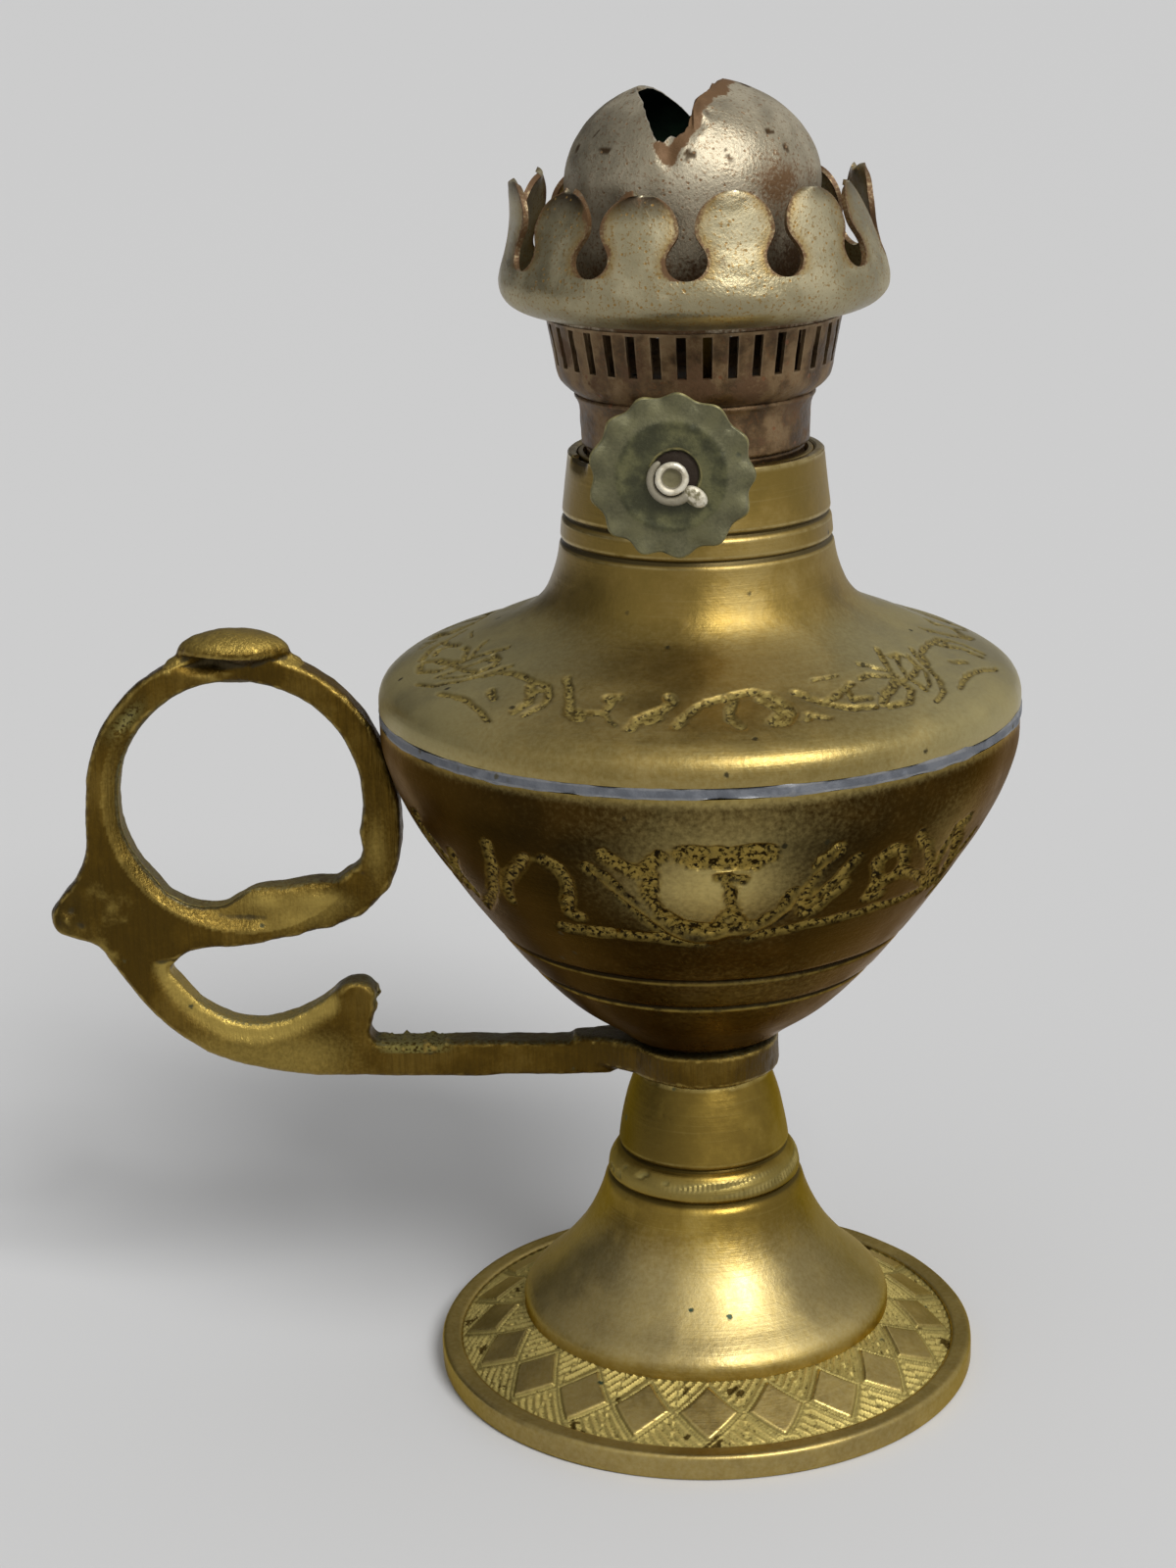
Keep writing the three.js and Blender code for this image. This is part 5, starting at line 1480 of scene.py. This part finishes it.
@dataclass
class Burner:
    """Lower burner: threaded sleeve, cup, slotted air gallery and shaft bush."""

    cup_levels: tuple[float, float] = (104.28, 109.78)
    gallery_levels: tuple[float, float] = (109.8, 117.53)
    slots: int = 36
    slot_width: float = 0.95
    slot_levels: tuple[float, float] = (112.95, 117.2)
    sheet: float = 0.45
    shaft: tuple[float, float] = (-2.3, 105.78)

    def worn(self, seed: int) -> Relief:
        """Return a relief of small dents and rust scale."""

        def relief(place: Grid, turn: Grid, radius: Grid, level: Grid) -> Looks:
            """Dent the steel and stain it in patches."""
            dents = 0.06 * noise(place, 4, seed, 2) + 0.03 * noise(place, 0.7, seed + 1, 2)
            rust = ramp(noise(place, 3.2, seed + 2, 3), 0, 1)
            return dents, 0 * turn, 0.75 * rust

        return relief

    def cup(self) -> Surface:
        """Return the cup: a turned shell that flares to the rolled fold."""
        low, high = self.cup_levels
        outer = outline_of([(10.4, low), (11.35, low)], arc((11.4, low + 0.4), 0.4, -90, 0, 4),
                           smooth_curve([(11.8, low + 0.6), (11.9, low + 2.4), (12.0, low + 4.2),
                                         (12.2, low + 4.75), (12.45, high - 0.35)], 26),
                           arc((12.1, high - 0.3), 0.35, 0, 90, 4))
        inner = spaced([(11.5, high), (11.5, low + 0.9), (11.2, low + 0.5), (10.4, low + 0.5)], 0.7)
        return turned(outline_of(outer, inner), 256, self.worn(71))

    def gallery(self) -> Piece:
        """Return the slotted ring.

        Formula: a turned sheet whose columns stand closer at the slots; faces between slot sides
        and slot ends are left out, and the sheet then gets its wall.
        """
        low, high = self.gallery_levels
        foot, head = self.slot_levels
        line = smooth_curve([(12.3, low), (13.1, low + 0.55), (13.95, low + 1.5), (14.22, low + 2.3),
                             (14.45, low + 3.6), (15.2, high)], 400)
        marks = np.unique(np.r_[np.arange(low, foot, 0.35), foot, np.linspace(foot, head, 14), high])
        line = np.c_[np.interp(marks, line[:, 1], line[:, 0]), marks]
        pitch = 360 / self.slots
        half = math.degrees(self.slot_width / 2 / 14.6)
        share = np.r_[np.linspace(-half, half, 5), np.linspace(half, pitch - half, 8)[1:-1]]
        angle = (np.arange(self.slots)[:, None] * 360 / self.slots + share + 180 / self.slots)
        turn, radius, level = swept(line, np.radians(angle.ravel()))
        dents, _, rust = self.worn(75)(around_axis(turn, radius, level), turn, radius, level)
        sheet = over_grid(around_axis(turn, radius + dents, level), stain=rust)
        around, _, tall = polar(sheet.points[sheet.faces].mean(axis=1))
        slot = np.abs(np.degrees(around) % pitch - pitch / 2) < half
        sheet.faces = sheet.faces[~(slot & (tall > foot) & (tall < head))]
        obj = SHOP.mesh("air_ring", sheet)
        SHOP.wall(obj, self.sheet)
        return obj

    def on_shaft(self, surface: Surface) -> Surface:
        """Lay a piece turned round Z on the winder shaft, its height pointing to the front."""
        x, y, z = surface.points.T
        surface.points = np.c_[x + self.shaft[0], -z, y + self.shaft[1]]
        return surface

    def bush(self) -> Surface:
        """Return the shaft bush with its rounded collar: a turned tube."""
        line = outline_of([(0.85, 10.1), (1.15, 10.1)], spaced([(1.15, 10.3), (1.15, 12.5)], 0.5),
                          arc((1.45, 12.75), 0.3, -90, 0, 3), arc((1.35, 12.9), 0.4, 0, 90, 3),
                          [(1.15, 13.3)], spaced([(1.15, 13.4), (1.15, 13.5)], 0.1),
                          [(0.85, 13.5)])
        return self.on_shaft(turned(line, 40))

    def sleeve(self) -> Surface:
        """Return the threaded sleeve: a turned tube with thread ridges outside."""
        line = outline_of([(10.6, 97.66), (11.1, 97.66)],
                          thread(np.linspace(97.8, 104.0, 70), 11.34, -0.14, 0.9),
                          [(11.1, 104.26), (10.6, 104.26)],
                          spaced([(10.6, 104), (10.6, 98)], 1.5))
        return turned(line, 128)

    def build(self) -> None:
        """Make and dress the burner's lower parts."""
        SHOP.make("cup_shell", self.cup(), RUST, Body.BURNER, Slot.RUSTY, "burner_cup")
        SHOP.finish(self.gallery(), RUST, Body.BURNER, Slot.RUSTY, "air_gallery")
        SHOP.make("bush_tube", self.bush(), RUST, Body.BURNER, Slot.RUSTY, "shaft_bush")
        SHOP.make("threaded_sleeve", self.sleeve(), RUST, Body.SCREW, Slot.RUSTY, "burner_thread")


@dataclass
class Winder:
    """Winder: shaft with its peened head, scalloped thumbwheel and wire clip."""

    burner: Burner
    radius: float = 8.05
    scallops: int = 13
    face: float = 26.7
    clip_start: float = -38
    clip_sweep: float = 200

    def wheel(self) -> Surface:
        """Return the stamped wheel.

        Formula: a turned disc whose rim radius and height follow a cosine of thirteen times the
        angle, with a pressed ring between hub and rim and a hollow hub.
        """
        back = self.face - 0.6
        reach = np.r_[np.linspace(0.86, 3, 18), np.linspace(3.2, 6.0, 20), np.linspace(6.15, 7.85, 12)]
        front = np.c_[reach, np.full(len(reach), self.face)]
        line = outline_of([(0.86, back)], np.c_[reach, np.full(len(reach), back)],
                          arc((7.75, self.face - 0.3), 0.3, -90, 90, 6), front[::-1])

        def relief(place: Grid, turn: Grid, radius: Grid, level: Grid) -> Looks:
            """Press the ring and the hollow hub, dent the rest, and darken the hub as painted shadow
            under the shaft's head.
            """
            side = np.where(level > self.face - 0.3, 1, -1)
            ridge = 0.14 * bell((radius, 5.15, 0.5))
            dents = 0.05 * noise(place, 2.5, 81, 3)
            far = np.hypot(place[..., 0] - 0.35, place[..., 1] - 0.2)
            hub = (1 - ramp(far, 2.15, 2.4)) * (side > 0)
            # The hub's stain value is painted shadow under the shaft's head.
            return side * (ridge + dents) - 0.3 * hub, 0 * turn, hub

        disc = turned(line, 416, relief)
        x, y, z = disc.points.T
        turn, reach, _ = polar(disc.points)
        disc.fields["tone"] = 0.55 * ramp(reach, 5.0, 5.6)
        far = reach / self.radius
        wave = np.cos(self.scallops * turn + 0.35 * np.sin(3 * turn))
        shrink = 1 - 0.034 * (1 - wave) * ramp(far, 0.72, 1)
        lift = 0.24 * wave * ramp(far, 0.74, 1) - 0.35 * ramp(far, 0.5, 1) * np.sin(turn * 2 + 1) ** 2
        disc.points = np.c_[x * shrink, y * shrink, z + lift]
        return self.burner.on_shaft(disc)

    def clip(self) -> Surface:
        """Return the open wire clip with its lug.

        Formula: an ellipse carried along an arc of 200 degrees, shrinking to nothing at its
        ends, and a flattened ball for the lug.
        """
        along = np.linspace(0, 1, 60)
        turn = np.radians(self.clip_start - self.clip_sweep * along)
        width = (0.52 - 0.2 * along) * np.sqrt(np.clip(1 - np.abs(2 * along - 1) ** 14, 0, 1))
        section = np.linspace(0, 2 * math.pi, 16, endpoint=False)
        reach = 2.12 - 0.12 * along[:, None] + width[:, None] * np.cos(section)
        lift = self.face + 0.6 + 0.8 * width[:, None] * np.sin(section)
        wire = over_grid(around_axis(turn[:, None], reach, lift) - [0, 0.15, 0])
        lug = ball()
        angle = math.radians(self.clip_start)
        x, y, z = (lug.points * [1.35, 0.9, 0.5]).T
        lug.points = np.c_[x * math.cos(angle) - y * math.sin(angle) + 2.2,
                           x * math.sin(angle) + y * math.cos(angle) - 1.85, z + self.face + 0.5]
        lug.fields["stain"] = 0.45 + 0.5 * noise(lug.points, 0.8, 83, 2)
        return self.burner.on_shaft(together(wire.turned_over(), lug))

    def bar(self) -> Surface:
        """Return the shaft: a turned bar whose head is a ring round a dished middle."""
        front = self.face + 0.56
        head = smooth_curve([(1.4, front), (1.6, front + 0.25), (1.54, front + 0.62),
                             (1.28, front + 0.76), (1.06, front + 0.66), (0.92, front + 0.36),
                             (0.4, front + 0.22), (0, front + 0.24)], 44)
        line = outline_of([(0, -5.1), (0.6, -5.1), (0.75, -4.9)],
                          spaced([(0.75, -4.5), (0.75, front - 0.1)], 1.5),
                          [(0.75, front)], head)

        def relief(place: Grid, turn: Grid, radius: Grid, level: Grid) -> Looks:
            """Hammer the head and darken its dished middle."""
            on_head = level > front - 0.05
            facets = 0.07 * noise(place, 0.9, 82, 2)
            dish = (1 - ramp(radius, 0.8, 1.0)) * on_head
            return facets * on_head * ramp(radius, 0, 0.5), 0 * turn, 0.9 * dish

        return self.burner.on_shaft(turned(line, 64, relief, closed=False))

    def build(self) -> None:
        """Make and dress the winder."""
        for name, surface, metal, slot, node in (
                ("wheel_disc", self.wheel(), WHEEL_GREEN, Slot.PATINA, "thumbwheel"),
                ("clip_wire", self.clip(), TIN, Slot.BRIGHT, "wheel_clip"),
                ("shaft_bar", self.bar(), TIN, Slot.BRIGHT, "winder_shaft")):
            SHOP.make(name, surface, metal, Body.WINDER, slot, node)


@dataclass
class Crown:
    """Chimney crown: dished ring whose wall is cut into twelve round-topped prongs."""

    base: float = 118.07
    height: float = 13.3
    wall: float = 0.55
    prongs: int = 12
    columns: int = 25
    turn: float = -2
    tip_radius: float = 17.7
    drop: float = 1.9
    neck: float = 0.75
    bent: tuple = ((9, 1.5, 0.1), (10, -0.35, 0.5), (11, -0.35, 0.5))
    dish: tuple = ((0, 0), (0.4, 0.026), (0.75, 0.08), (0.95, 0.152), (1, 0.23))
    sides: tuple = ((0.9, 0.33), (0.67, 0.46), (0.4, 0.61), (0.18, 0.75), (0.05, 0.87), (0, 1))

    def rows(self) -> tuple[Grid, Grid]:
        """Return the levels of the prong grid's rows and half a gap's width at each.

        Formula: the gap is a half circle below, narrows to a neck as a cosine, and then follows a
        quarter of an ellipse that ends a little before the prong's top would close.
        """
        middle = 0.53 * self.height
        bulb = np.linspace(0, math.pi / 2, 14)
        taper = np.linspace(0, 1, 15)[1:]
        round_top = np.radians(np.linspace(0, 79, 14))[1:]
        half = math.pi * self.tip_radius / self.prongs
        neck_top = 0.74 * self.height
        levels = np.r_[middle - self.drop * np.cos(bulb), middle + taper * (neck_top - middle),
                       neck_top + (self.height - neck_top) * np.sin(round_top) / np.sin(round_top[-1])]
        gaps = np.r_[self.drop * np.sin(bulb),
                     self.neck + (self.drop - self.neck) * (0.5 + 0.5 * np.cos(math.pi * taper)),
                     half - (half - self.neck) * np.cos(round_top)]
        return levels, gaps

    def prong(self, number: int, levels: Grid, gaps: Grid) -> Surface:
        """Return one prong.

        Formula: rows of points spread between the gap's edges, on the crown's outline; each
        prong leans, stands and twists a little differently, growing with the square of height.
        Three prongs are bent further, as listed: number, lean at the tip, more painted shade at the
        tip.

        Args:
            number: which prong.
            levels: heights of the rows over the crown's base.
            gaps: half the gap's width at each row.

        Returns:
            The prong's outer surface.
        """
        across = np.linspace(-1, 1, self.columns)
        half = math.pi * self.tip_radius / self.prongs
        x = (half - gaps)[:, None] * across
        up = np.repeat(levels[:, None], len(across), 1)
        reach = np.interp(up, *self.profile())
        share = np.clip((up - levels[0]) / (self.height - levels[0]), 0, 1) ** 2
        seeds = np.random.default_rng(90 + number).normal(size=5)
        bend, more_painted_shade = {entry[0]: entry[1:] for entry in self.bent}.get(number, (0, 0))
        lean = 0.28 * seeds[0] + bend + 0.3 * seeds[1] * across
        reach = reach + share * (lean + 0.35 * seeds[2] * across**2) - 0.75 * share**3
        up = up + share * (0.22 * seeds[3] - 0.5 * (bend < 0))
        angle = math.radians(self.turn - 90) + (number + 0.5) * 2 * math.pi / self.prongs
        points = around_axis(angle + x / self.tip_radius, reach, self.base + up)
        gaps = gaps[:, None]
        near_edge = ramp(np.abs(across), 0.72, 1) * np.clip(gaps * 3, 0, 1)
        rust = 0.7 * near_edge + 0.5 * ramp(noise(points, 2.2, 95, 3), 0.3, 1.1)
        halo = 0.75 * ramp(np.abs(across), 0.3, 1) * np.clip(gaps, 0, 1)
        # Painted shade at the tips, which curve inward and face up.
        painted_shade = (0.45 + more_painted_shade) * ramp(up, (0.84 - 0.2 * more_painted_shade) * self.height, 0.97 * self.height)
        return over_grid(points, close_columns=False, stain=rust, tone=halo, shade=painted_shade)

    def profile(self) -> tuple[Grid, Grid]:
        """Return heights and radii of the dish and the side as one smooth curve."""
        dish = between(self.dish, (16.2, 19.95), (0, self.height))
        side = between(self.sides, (self.tip_radius, 19.95), (0, self.height))
        line = smooth_curve([*dish, *side], 300)
        return line[:, 1], line[:, 0]

    def build(self) -> None:
        """Make and dress the crown."""
        levels, gaps = self.rows()
        side = np.linspace(-1, 1, self.columns)[:-1]
        half = math.pi / self.prongs
        turn = (math.radians(self.turn - 90) + (np.arange(self.prongs)[:, None] + 0.5) * 2 * half
                + side * half).ravel()
        heights, radii = self.profile()
        line = paced(np.c_[radii, heights], np.full(len(radii), 0.3))
        line = line[line[:, 1] < levels[0] - 0.1]
        lower = outline_of([(13.45, 0), (14.4, 0), (15.4, 0)], line,
                           [(np.interp(levels[0], heights, radii), levels[0])])
        angle, radius, level = swept(lower, turn)
        place = around_axis(angle, radius, level + self.base)
        body = over_grid(place, stain=0.5 * ramp(noise(place, 3, 97, 3), 0.4, 1.2))
        prongs = [self.prong(i, levels, gaps) for i in range(self.prongs)]
        whole = together(body, *prongs)
        wave = 0.12 * noise(whole.points, 9, 98, 2) + 0.05 * noise(whole.points, 2, 99, 2)
        outward = whole.points * [1, 1, 0]
        outward /= np.linalg.norm(outward, axis=1, keepdims=True)
        rise = ramp(whole.points[:, 2], self.base + 0.4, self.base + 2)
        whole.points += outward * (wave * rise)[:, None]
        obj = SHOP.mesh("crown_prongs", whole)
        SHOP.weld(obj, 0.02)
        SHOP.wall(obj, self.wall)
        SHOP.finish(obj, CROWN_PLATING, Body.GALLERY, Slot.PLATED, "crown")


@dataclass
class Dome:
    """Flame spreader: flange, side and flattened cap with the torn flame slot."""

    base: float = 117.55
    spring: float = 130.79
    radius: float = 13
    rise: float = 10.4
    wall: float = 0.5
    front: tuple = (
        (-0.47, 0.15), (-0.415, -0.11), (-0.365, -0.21), (-0.314, -0.4), (-0.265, -0.53),
        (-0.21, -0.53), (-0.165, -0.475), (-0.12, -0.49), (-0.07, -0.46), (-0.028, -0.4),
        (-0.01, -0.33), (0.02, -0.22), (0.08, -0.16), (0.155, -0.085), (0.25, -0.03), (0.33, 0.15))
    back: tuple = (
        (-0.47, 0.15), (-0.42, -0.085), (-0.36, -0.105), (-0.3, -0.135), (-0.242, -0.183),
        (-0.16, -0.27), (-0.078, -0.365), (-0.016, -0.455), (0.03, -0.43), (0.08, -0.34),
        (0.14, -0.24), (0.2, -0.15), (0.25, -0.07), (0.27, -0.03), (0.33, 0.15))
    rust: tuple = (
        (-0.245, -0.58), (-0.2, -0.64), (-0.165, -0.66), (-0.13, -0.58), (-0.075, -0.5),
        (-0.01, -0.4), (0.03, -0.25), (0.1, -0.17), (0.18, -0.1), (0.27, -0.04))

    def shell(self) -> Surface:
        """Return the whole dome as one turned shell: flange, straight side and half ellipse."""
        cap = np.radians(np.linspace(0, 90, 56))
        outer = np.c_[self.radius * np.cos(cap), self.spring + self.rise * np.sin(cap)]
        inside = self.radius - self.wall
        flange = self.base + self.wall
        inner = np.c_[inside * np.cos(cap),
                      self.spring + (self.rise - self.wall) * np.sin(cap)][::-2]
        line = outline_of(inner, spaced([(inside, 130), (inside, self.base)], 1.2),
                          [(15.0, self.base), (15.0, flange), (13.05, flange)],
                          spaced([(13, self.base + 0.7), (13, 130.5)], 0.4), outer)

        def relief(place: Grid, turn: Grid, radius: Grid, level: Grid) -> Looks:
            """Dent the plating, let it flake on top and rust low down."""
            dents = 0.12 * noise(place, 8, 101, 2) + 0.03 * noise(place, 1.5, 102, 2)
            low = 1 - ramp(level, 127, 135)
            side = 0.6 * (1 - ramp(level, 122.5, 127))
            rust = 0.1 * low + side + 0.4 * noise(place, 3, 103, 3)
            flakes = ramp(noise(place, 1.9, 104, 3), 0.76, 0.84) * ramp(level, 133, 135)
            return dents * (level > 119) - 0.06 * flakes, flakes, np.clip(rust, 0, 1)

        whole = turned(line, 320, relief, closed=False)
        x, y, level = whole.points.T
        whole.fields["tone"] = 0.35 * (1 - ramp(level, 129, 135))
        burnt = bell((x, 8.4, 3.2), (level, 131.2, 3.4)) * (y < 0)
        whole.fields["stain"] = np.clip(whole.fields["stain"] + 0.8 * burnt, 0, 1)
        return whole

    def cutter(self, shares: Sequence, side: float) -> Surface:
        """Return a ragged prism that tears one half of the slot.

        Formula: the tear's outline with small seeded kinks, carried along Y on one side.

        Args:
            shares: outline in shares of the dome's radius and rise.
            side: -1 for the front, 1 for the back.

        Returns:
            A closed prism.
        """
        top = self.spring + self.rise
        line = spaced(np.asarray(shares) * [self.radius, self.rise] + [0, top], 0.35)
        kinks = np.random.default_rng(7).normal(size=line.shape) * (0.05 if side < 0 else 0.02)
        line = line + kinks * (line[:, 1:2] < top)
        depth = np.array([-0.001, 7, 15]) * side
        count = len(line)
        prism = over_grid(stacked(line[:, 0], depth[:, None], line[:, 1]))
        prism.caps = [list(range(count))[::-1], list(range(2 * count, 3 * count))]
        return prism if side < 0 else prism.turned_over()

    def tear(self, obj: Piece) -> None:
        """Cut the slot out of the dome and curl its right lip outward."""
        for number, (shares, side) in enumerate(((self.front, -1), (self.back, 1))):
            tool = SHOP.mesh(f"tear_{number}", self.cutter(shares, side))
            SHOP.apply(obj, "BOOLEAN", object=tool, operation="DIFFERENCE", solver="EXACT")
            bpy.data.objects.remove(tool)
        mesh = obj.data
        place = lamp_places(mesh.vertices)
        x, y, z = place.T
        high = ramp(z, self.spring + 3.5, self.spring + 7.5)
        lip = np.exp(-np.clip(x - 0.08 * self.radius, 0, 9) / 0.9) * (x > 0) * high
        outward = place * [1, 1, 1.2] - [0, 0, 1.2 * self.spring]
        outward /= np.linalg.norm(outward, axis=1, keepdims=True)
        ragged = 0.25 + 0.3 * noise(place, 1.1, 111, 2)
        edge = spaced(np.asarray(self.rust) * [self.radius, self.rise]
                      + [0, self.spring + self.rise], 0.4)
        far = np.min([np.hypot(x - a, z - b) for a, b in edge], axis=0) + 9 * (y > 1)
        near = 1 - ramp(far + 0.25 * noise(place, 1.2, 112, 2), 0.45, 1.0)
        sunk = bell((x, -2.2, 0.9), (z - self.spring, 3.9, 1.3)) * (y < 0)
        set_places(mesh, place + outward * (lip * ragged * (y < 3) - 0.5 * sunk)[:, None])
        layer = mesh.attributes["stain"].data
        old = read_values(layer, "value", 1)[:, 0]
        layer.foreach_set("value", np.clip(old + near, 0, 1))
        mesh.update()

    def build(self) -> None:
        """Make and dress the dome."""
        obj = SHOP.mesh("dome_shell", self.shell())
        self.tear(obj)
        SHOP.finish(obj, DOME_PLATING, Body.GALLERY, Slot.PLATED, "dome")
        mesh = obj.data
        # Inward-facing faces take the dark green inside finish: painted shade, tinted green.
        mesh.materials.append(DARK_GREEN_INSIDE.material())
        away = lamp_places(mesh.polygons, "center")
        normal = read_values(mesh.polygons, "normal")
        tall = np.maximum(away[:, 2] - self.spring, 0)
        facing = np.sum(np.c_[away[:, :2], tall] * normal, axis=1)
        inside = facing < -0.5 * np.hypot(np.hypot(away[:, 0], away[:, 1]), tall)
        mesh.polygons.foreach_set("material_index", inside.astype(np.int32))


# Inner parts


@dataclass(frozen=True)
class Cotton(Finish):
    """Woven cotton: bare, oil-soaked below and charred at its top."""

    name: str = "cotton tape"
    base: str = "cfc2a4"
    soaked: str = "a58f5f"
    char: str = "1c1713"

    def build(self, n: Nodes) -> None:
        """Fill the material's nodes: cotton, then oil, then char."""
        grain = n.noise(n.place(), 0.6, 4, 0.7)
        colour = n.mix(n.step(grain, 0.3, 0.7), tint(self.soaked), tint(self.base))
        colour = n.mix(n.value("carved"), colour, tint(self.soaked))
        ash = n.uneven(n.value("stain"), grain, 0.8)
        colour = n.mix(n.step(ash, 0.3, 0.7), colour, tint(self.char))
        n.bumpy(grain, 0.6, 0.2, {"Base Color": colour, "Roughness": 0.95})


@dataclass
class Wick:
    """Flat woven wick that hangs from the winder through its tube."""

    middle: float = 0.7
    half: tuple[float, float] = (0.62, 5.42)
    levels: tuple[float, float] = (48.66, 132.6)

    def tape(self) -> Surface:
        """Return the woven tape.

        Formula: a section shaped as a rounded rectangle is carried up; ribs across and along
        follow the product of two sines, one of the width and one of the height, and the top is
        frayed by noise.
        """
        low, high = self.levels
        around = np.linspace(0, 2 * math.pi, 144, endpoint=False)
        side = np.abs(np.cos(around)) ** 0.3 * np.sign(np.cos(around)) * self.half[0]
        width = np.arcsin(np.sin(around)) / (math.pi / 2) * self.half[1]
        level = np.r_[low, low + 0.05, np.arange(low + 0.35, high - 0.4, 0.3), high - 0.2, high]
        size = np.r_[0.02, 1, np.ones(len(level) - 4), 0.9, 0.02]
        z = level[:, None]
        weave = 0.07 * np.sin(width * 7.5) * np.sin(z * 5.2 + 1.57 * np.sign(np.sin(width * 3.75)))
        x = side * size[:, None] + np.sign(side) * weave * (size[:, None] > 0.5)
        points = stacked(self.middle + x, width * np.maximum(size[:, None], 0.97), z)
        fray = ramp(points[..., 2], high - 1.2, high) * noise(points, 0.8, 121, 2)
        points[..., 2] -= 0.35 * np.abs(fray)
        level = points[..., 2]
        char = ramp(level + 0.8 * noise(points, 1.5, 122, 2), high - 3.4, high - 1.2)
        oil = 1 - ramp(level + 4 * noise(points, 6, 123, 2), 85, 110)
        return over_grid(points, stain=char, carved=0.8 * oil)

    def build(self) -> None:
        obj = SHOP.make("wick_tape", self.tape(), Cotton(), Body.WICK, Slot.COTTON, "wick", sharp=180)


@dataclass
class KeptParts:
    """CAD solids inside the burner whose shapes are right and that only get a finish."""

    nodes: dict[str, Piece]

    def build(self) -> None:
        """Give each kept solid its finish on its own slot."""
        chosen = {"base_plate": RUST, "diffuser_plate": RUST, "winder_box": RUST,
                  "wick_tube": CAST_BRASS, "vent_tube": CAST_BRASS, "star_wheel_front": STEEL,
                  "star_wheel_rear": STEEL}
        for name, metal in chosen.items():
            slot = self.nodes[name].material_slots[0]
            slot.link = "OBJECT"
            slot.material = metal.material()
            LOG.info("dressed %s in %s", name, metal.name)


# Studio


@dataclass(frozen=True)
class FloorPaint(Finish):
    """Plain dull paint."""

    name: str = "floor paint"
    shade: float = 0.58

    def build(self, n: Nodes) -> None:
        """Fill the material's nodes: one even grey."""
        n.output(n.add("BsdfPrincipled", {"Base Color": (self.shade, self.shade, self.shade, 1),
                                          "Roughness": 0.9, "Specular IOR Level": 0.2}))


@dataclass
class Studio:
    """Camera, plain floor, soft lamps and a soft world."""

    place: tuple[float, float, float] = (0, -301.239, 159.68)
    right: tuple[float, float, float] = (0.99920678, 0.03288655, -0.02245649)
    up: tuple[float, float, float] = (0.011804, 0.29397768, 0.95573939)
    ahead: tuple[float, float, float] = (-0.03803268, 0.95524635, -0.2933563)
    lens: float = 67.27
    floor_radius: float = 12
    sky_low: float = 0.04
    sky_high: float = 0.66
    brightest: tuple[float, float, float] = (0.62, -0.5, 0.6)

    def camera(self) -> None:
        """Place the camera where the photograph was taken."""
        data = bpy.data.cameras.new("camera")
        data.lens = self.lens
        data.clip_end = 60
        obj = linked("camera", data)
        axes = np.eye(4)
        axes[:3, 0] = self.right
        axes[:3, 1] = self.up
        axes[:3, 2] = -np.array(self.ahead)
        axes[:3, 3] = (np.array(self.place) + AXIS) * MM
        obj.matrix_world = Matrix(axes.tolist())
        bpy.context.scene.camera = obj

    def floor(self) -> None:
        """Lay a plain pale floor: a turned flat disc about the frame's own middle."""
        radius = np.r_[0, np.geomspace(0.02, self.floor_radius, 24)] / MM
        disc = turned(np.c_[radius, 0 * radius], 96, closed=False)
        disc.points -= AXIS
        obj = SHOP.mesh("floor", disc)
        obj.data.materials.append(FloorPaint().material())

    def sun(self, name: str, source: Sequence[float], strength: float, width: float) -> None:
        """Add a soft sun.

        Args:
            name: the sun's name.
            source: direction that it shines from.
            strength: its strength.
            width: how wide it looks, in degrees.
        """
        data = bpy.data.lights.new(name, "SUN")
        data.energy = strength
        data.angle = math.radians(width)
        linked(name, data).rotation_euler = Vector(source).to_track_quat("Z", "Y").to_euler()

    def world(self) -> None:
        """Fill the world with a soft gradient, brightest towards one direction."""
        world = bpy.data.worlds.new("studio")
        world.use_nodes = True
        n = Nodes(world.node_tree)
        ray = n.add("TexCoord").outputs["Generated"]
        aim = np.array(self.brightest) / np.linalg.norm(self.brightest)
        along = n.add("VectorMath", {0: ray, 1: tuple(aim)}, operation="DOT_PRODUCT")
        shade = n.step(along.outputs["Value"], -0.9, 0.9, (self.sky_low, self.sky_high))
        n.output(n.add("Background", {"Color": shade, "Strength": 1.0}), "World")
        bpy.context.scene.world = world

    def build(self) -> None:
        """Set up the whole studio."""
        self.camera()
        self.floor()
        self.sun("key_sun", (0.42, -0.62, 0.75), strength=2.4, width=26)
        self.sun("fill_sun", (-0.75, -0.6, 0.4), strength=0.12, width=50)
        self.world()
        bpy.context.scene.view_settings.view_transform = "Standard"


def main() -> None:
    """Load the frame, build the studio and every sub-assembly, and report each piece."""
    logging.basicConfig(level=logging.INFO, format="%(message)s", stream=sys.stdout)
    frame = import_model()
    Studio().build()
    burner = Burner()
    for part in (Foot(), Handle(), Font(), burner, Winder(burner), Wick(), Crown(), Dome(),
                 KeptParts(frame["nodes"])):
        part.build()
        LOG.info("built %s", type(part).__name__)


if __name__ == "__main__":
    main()
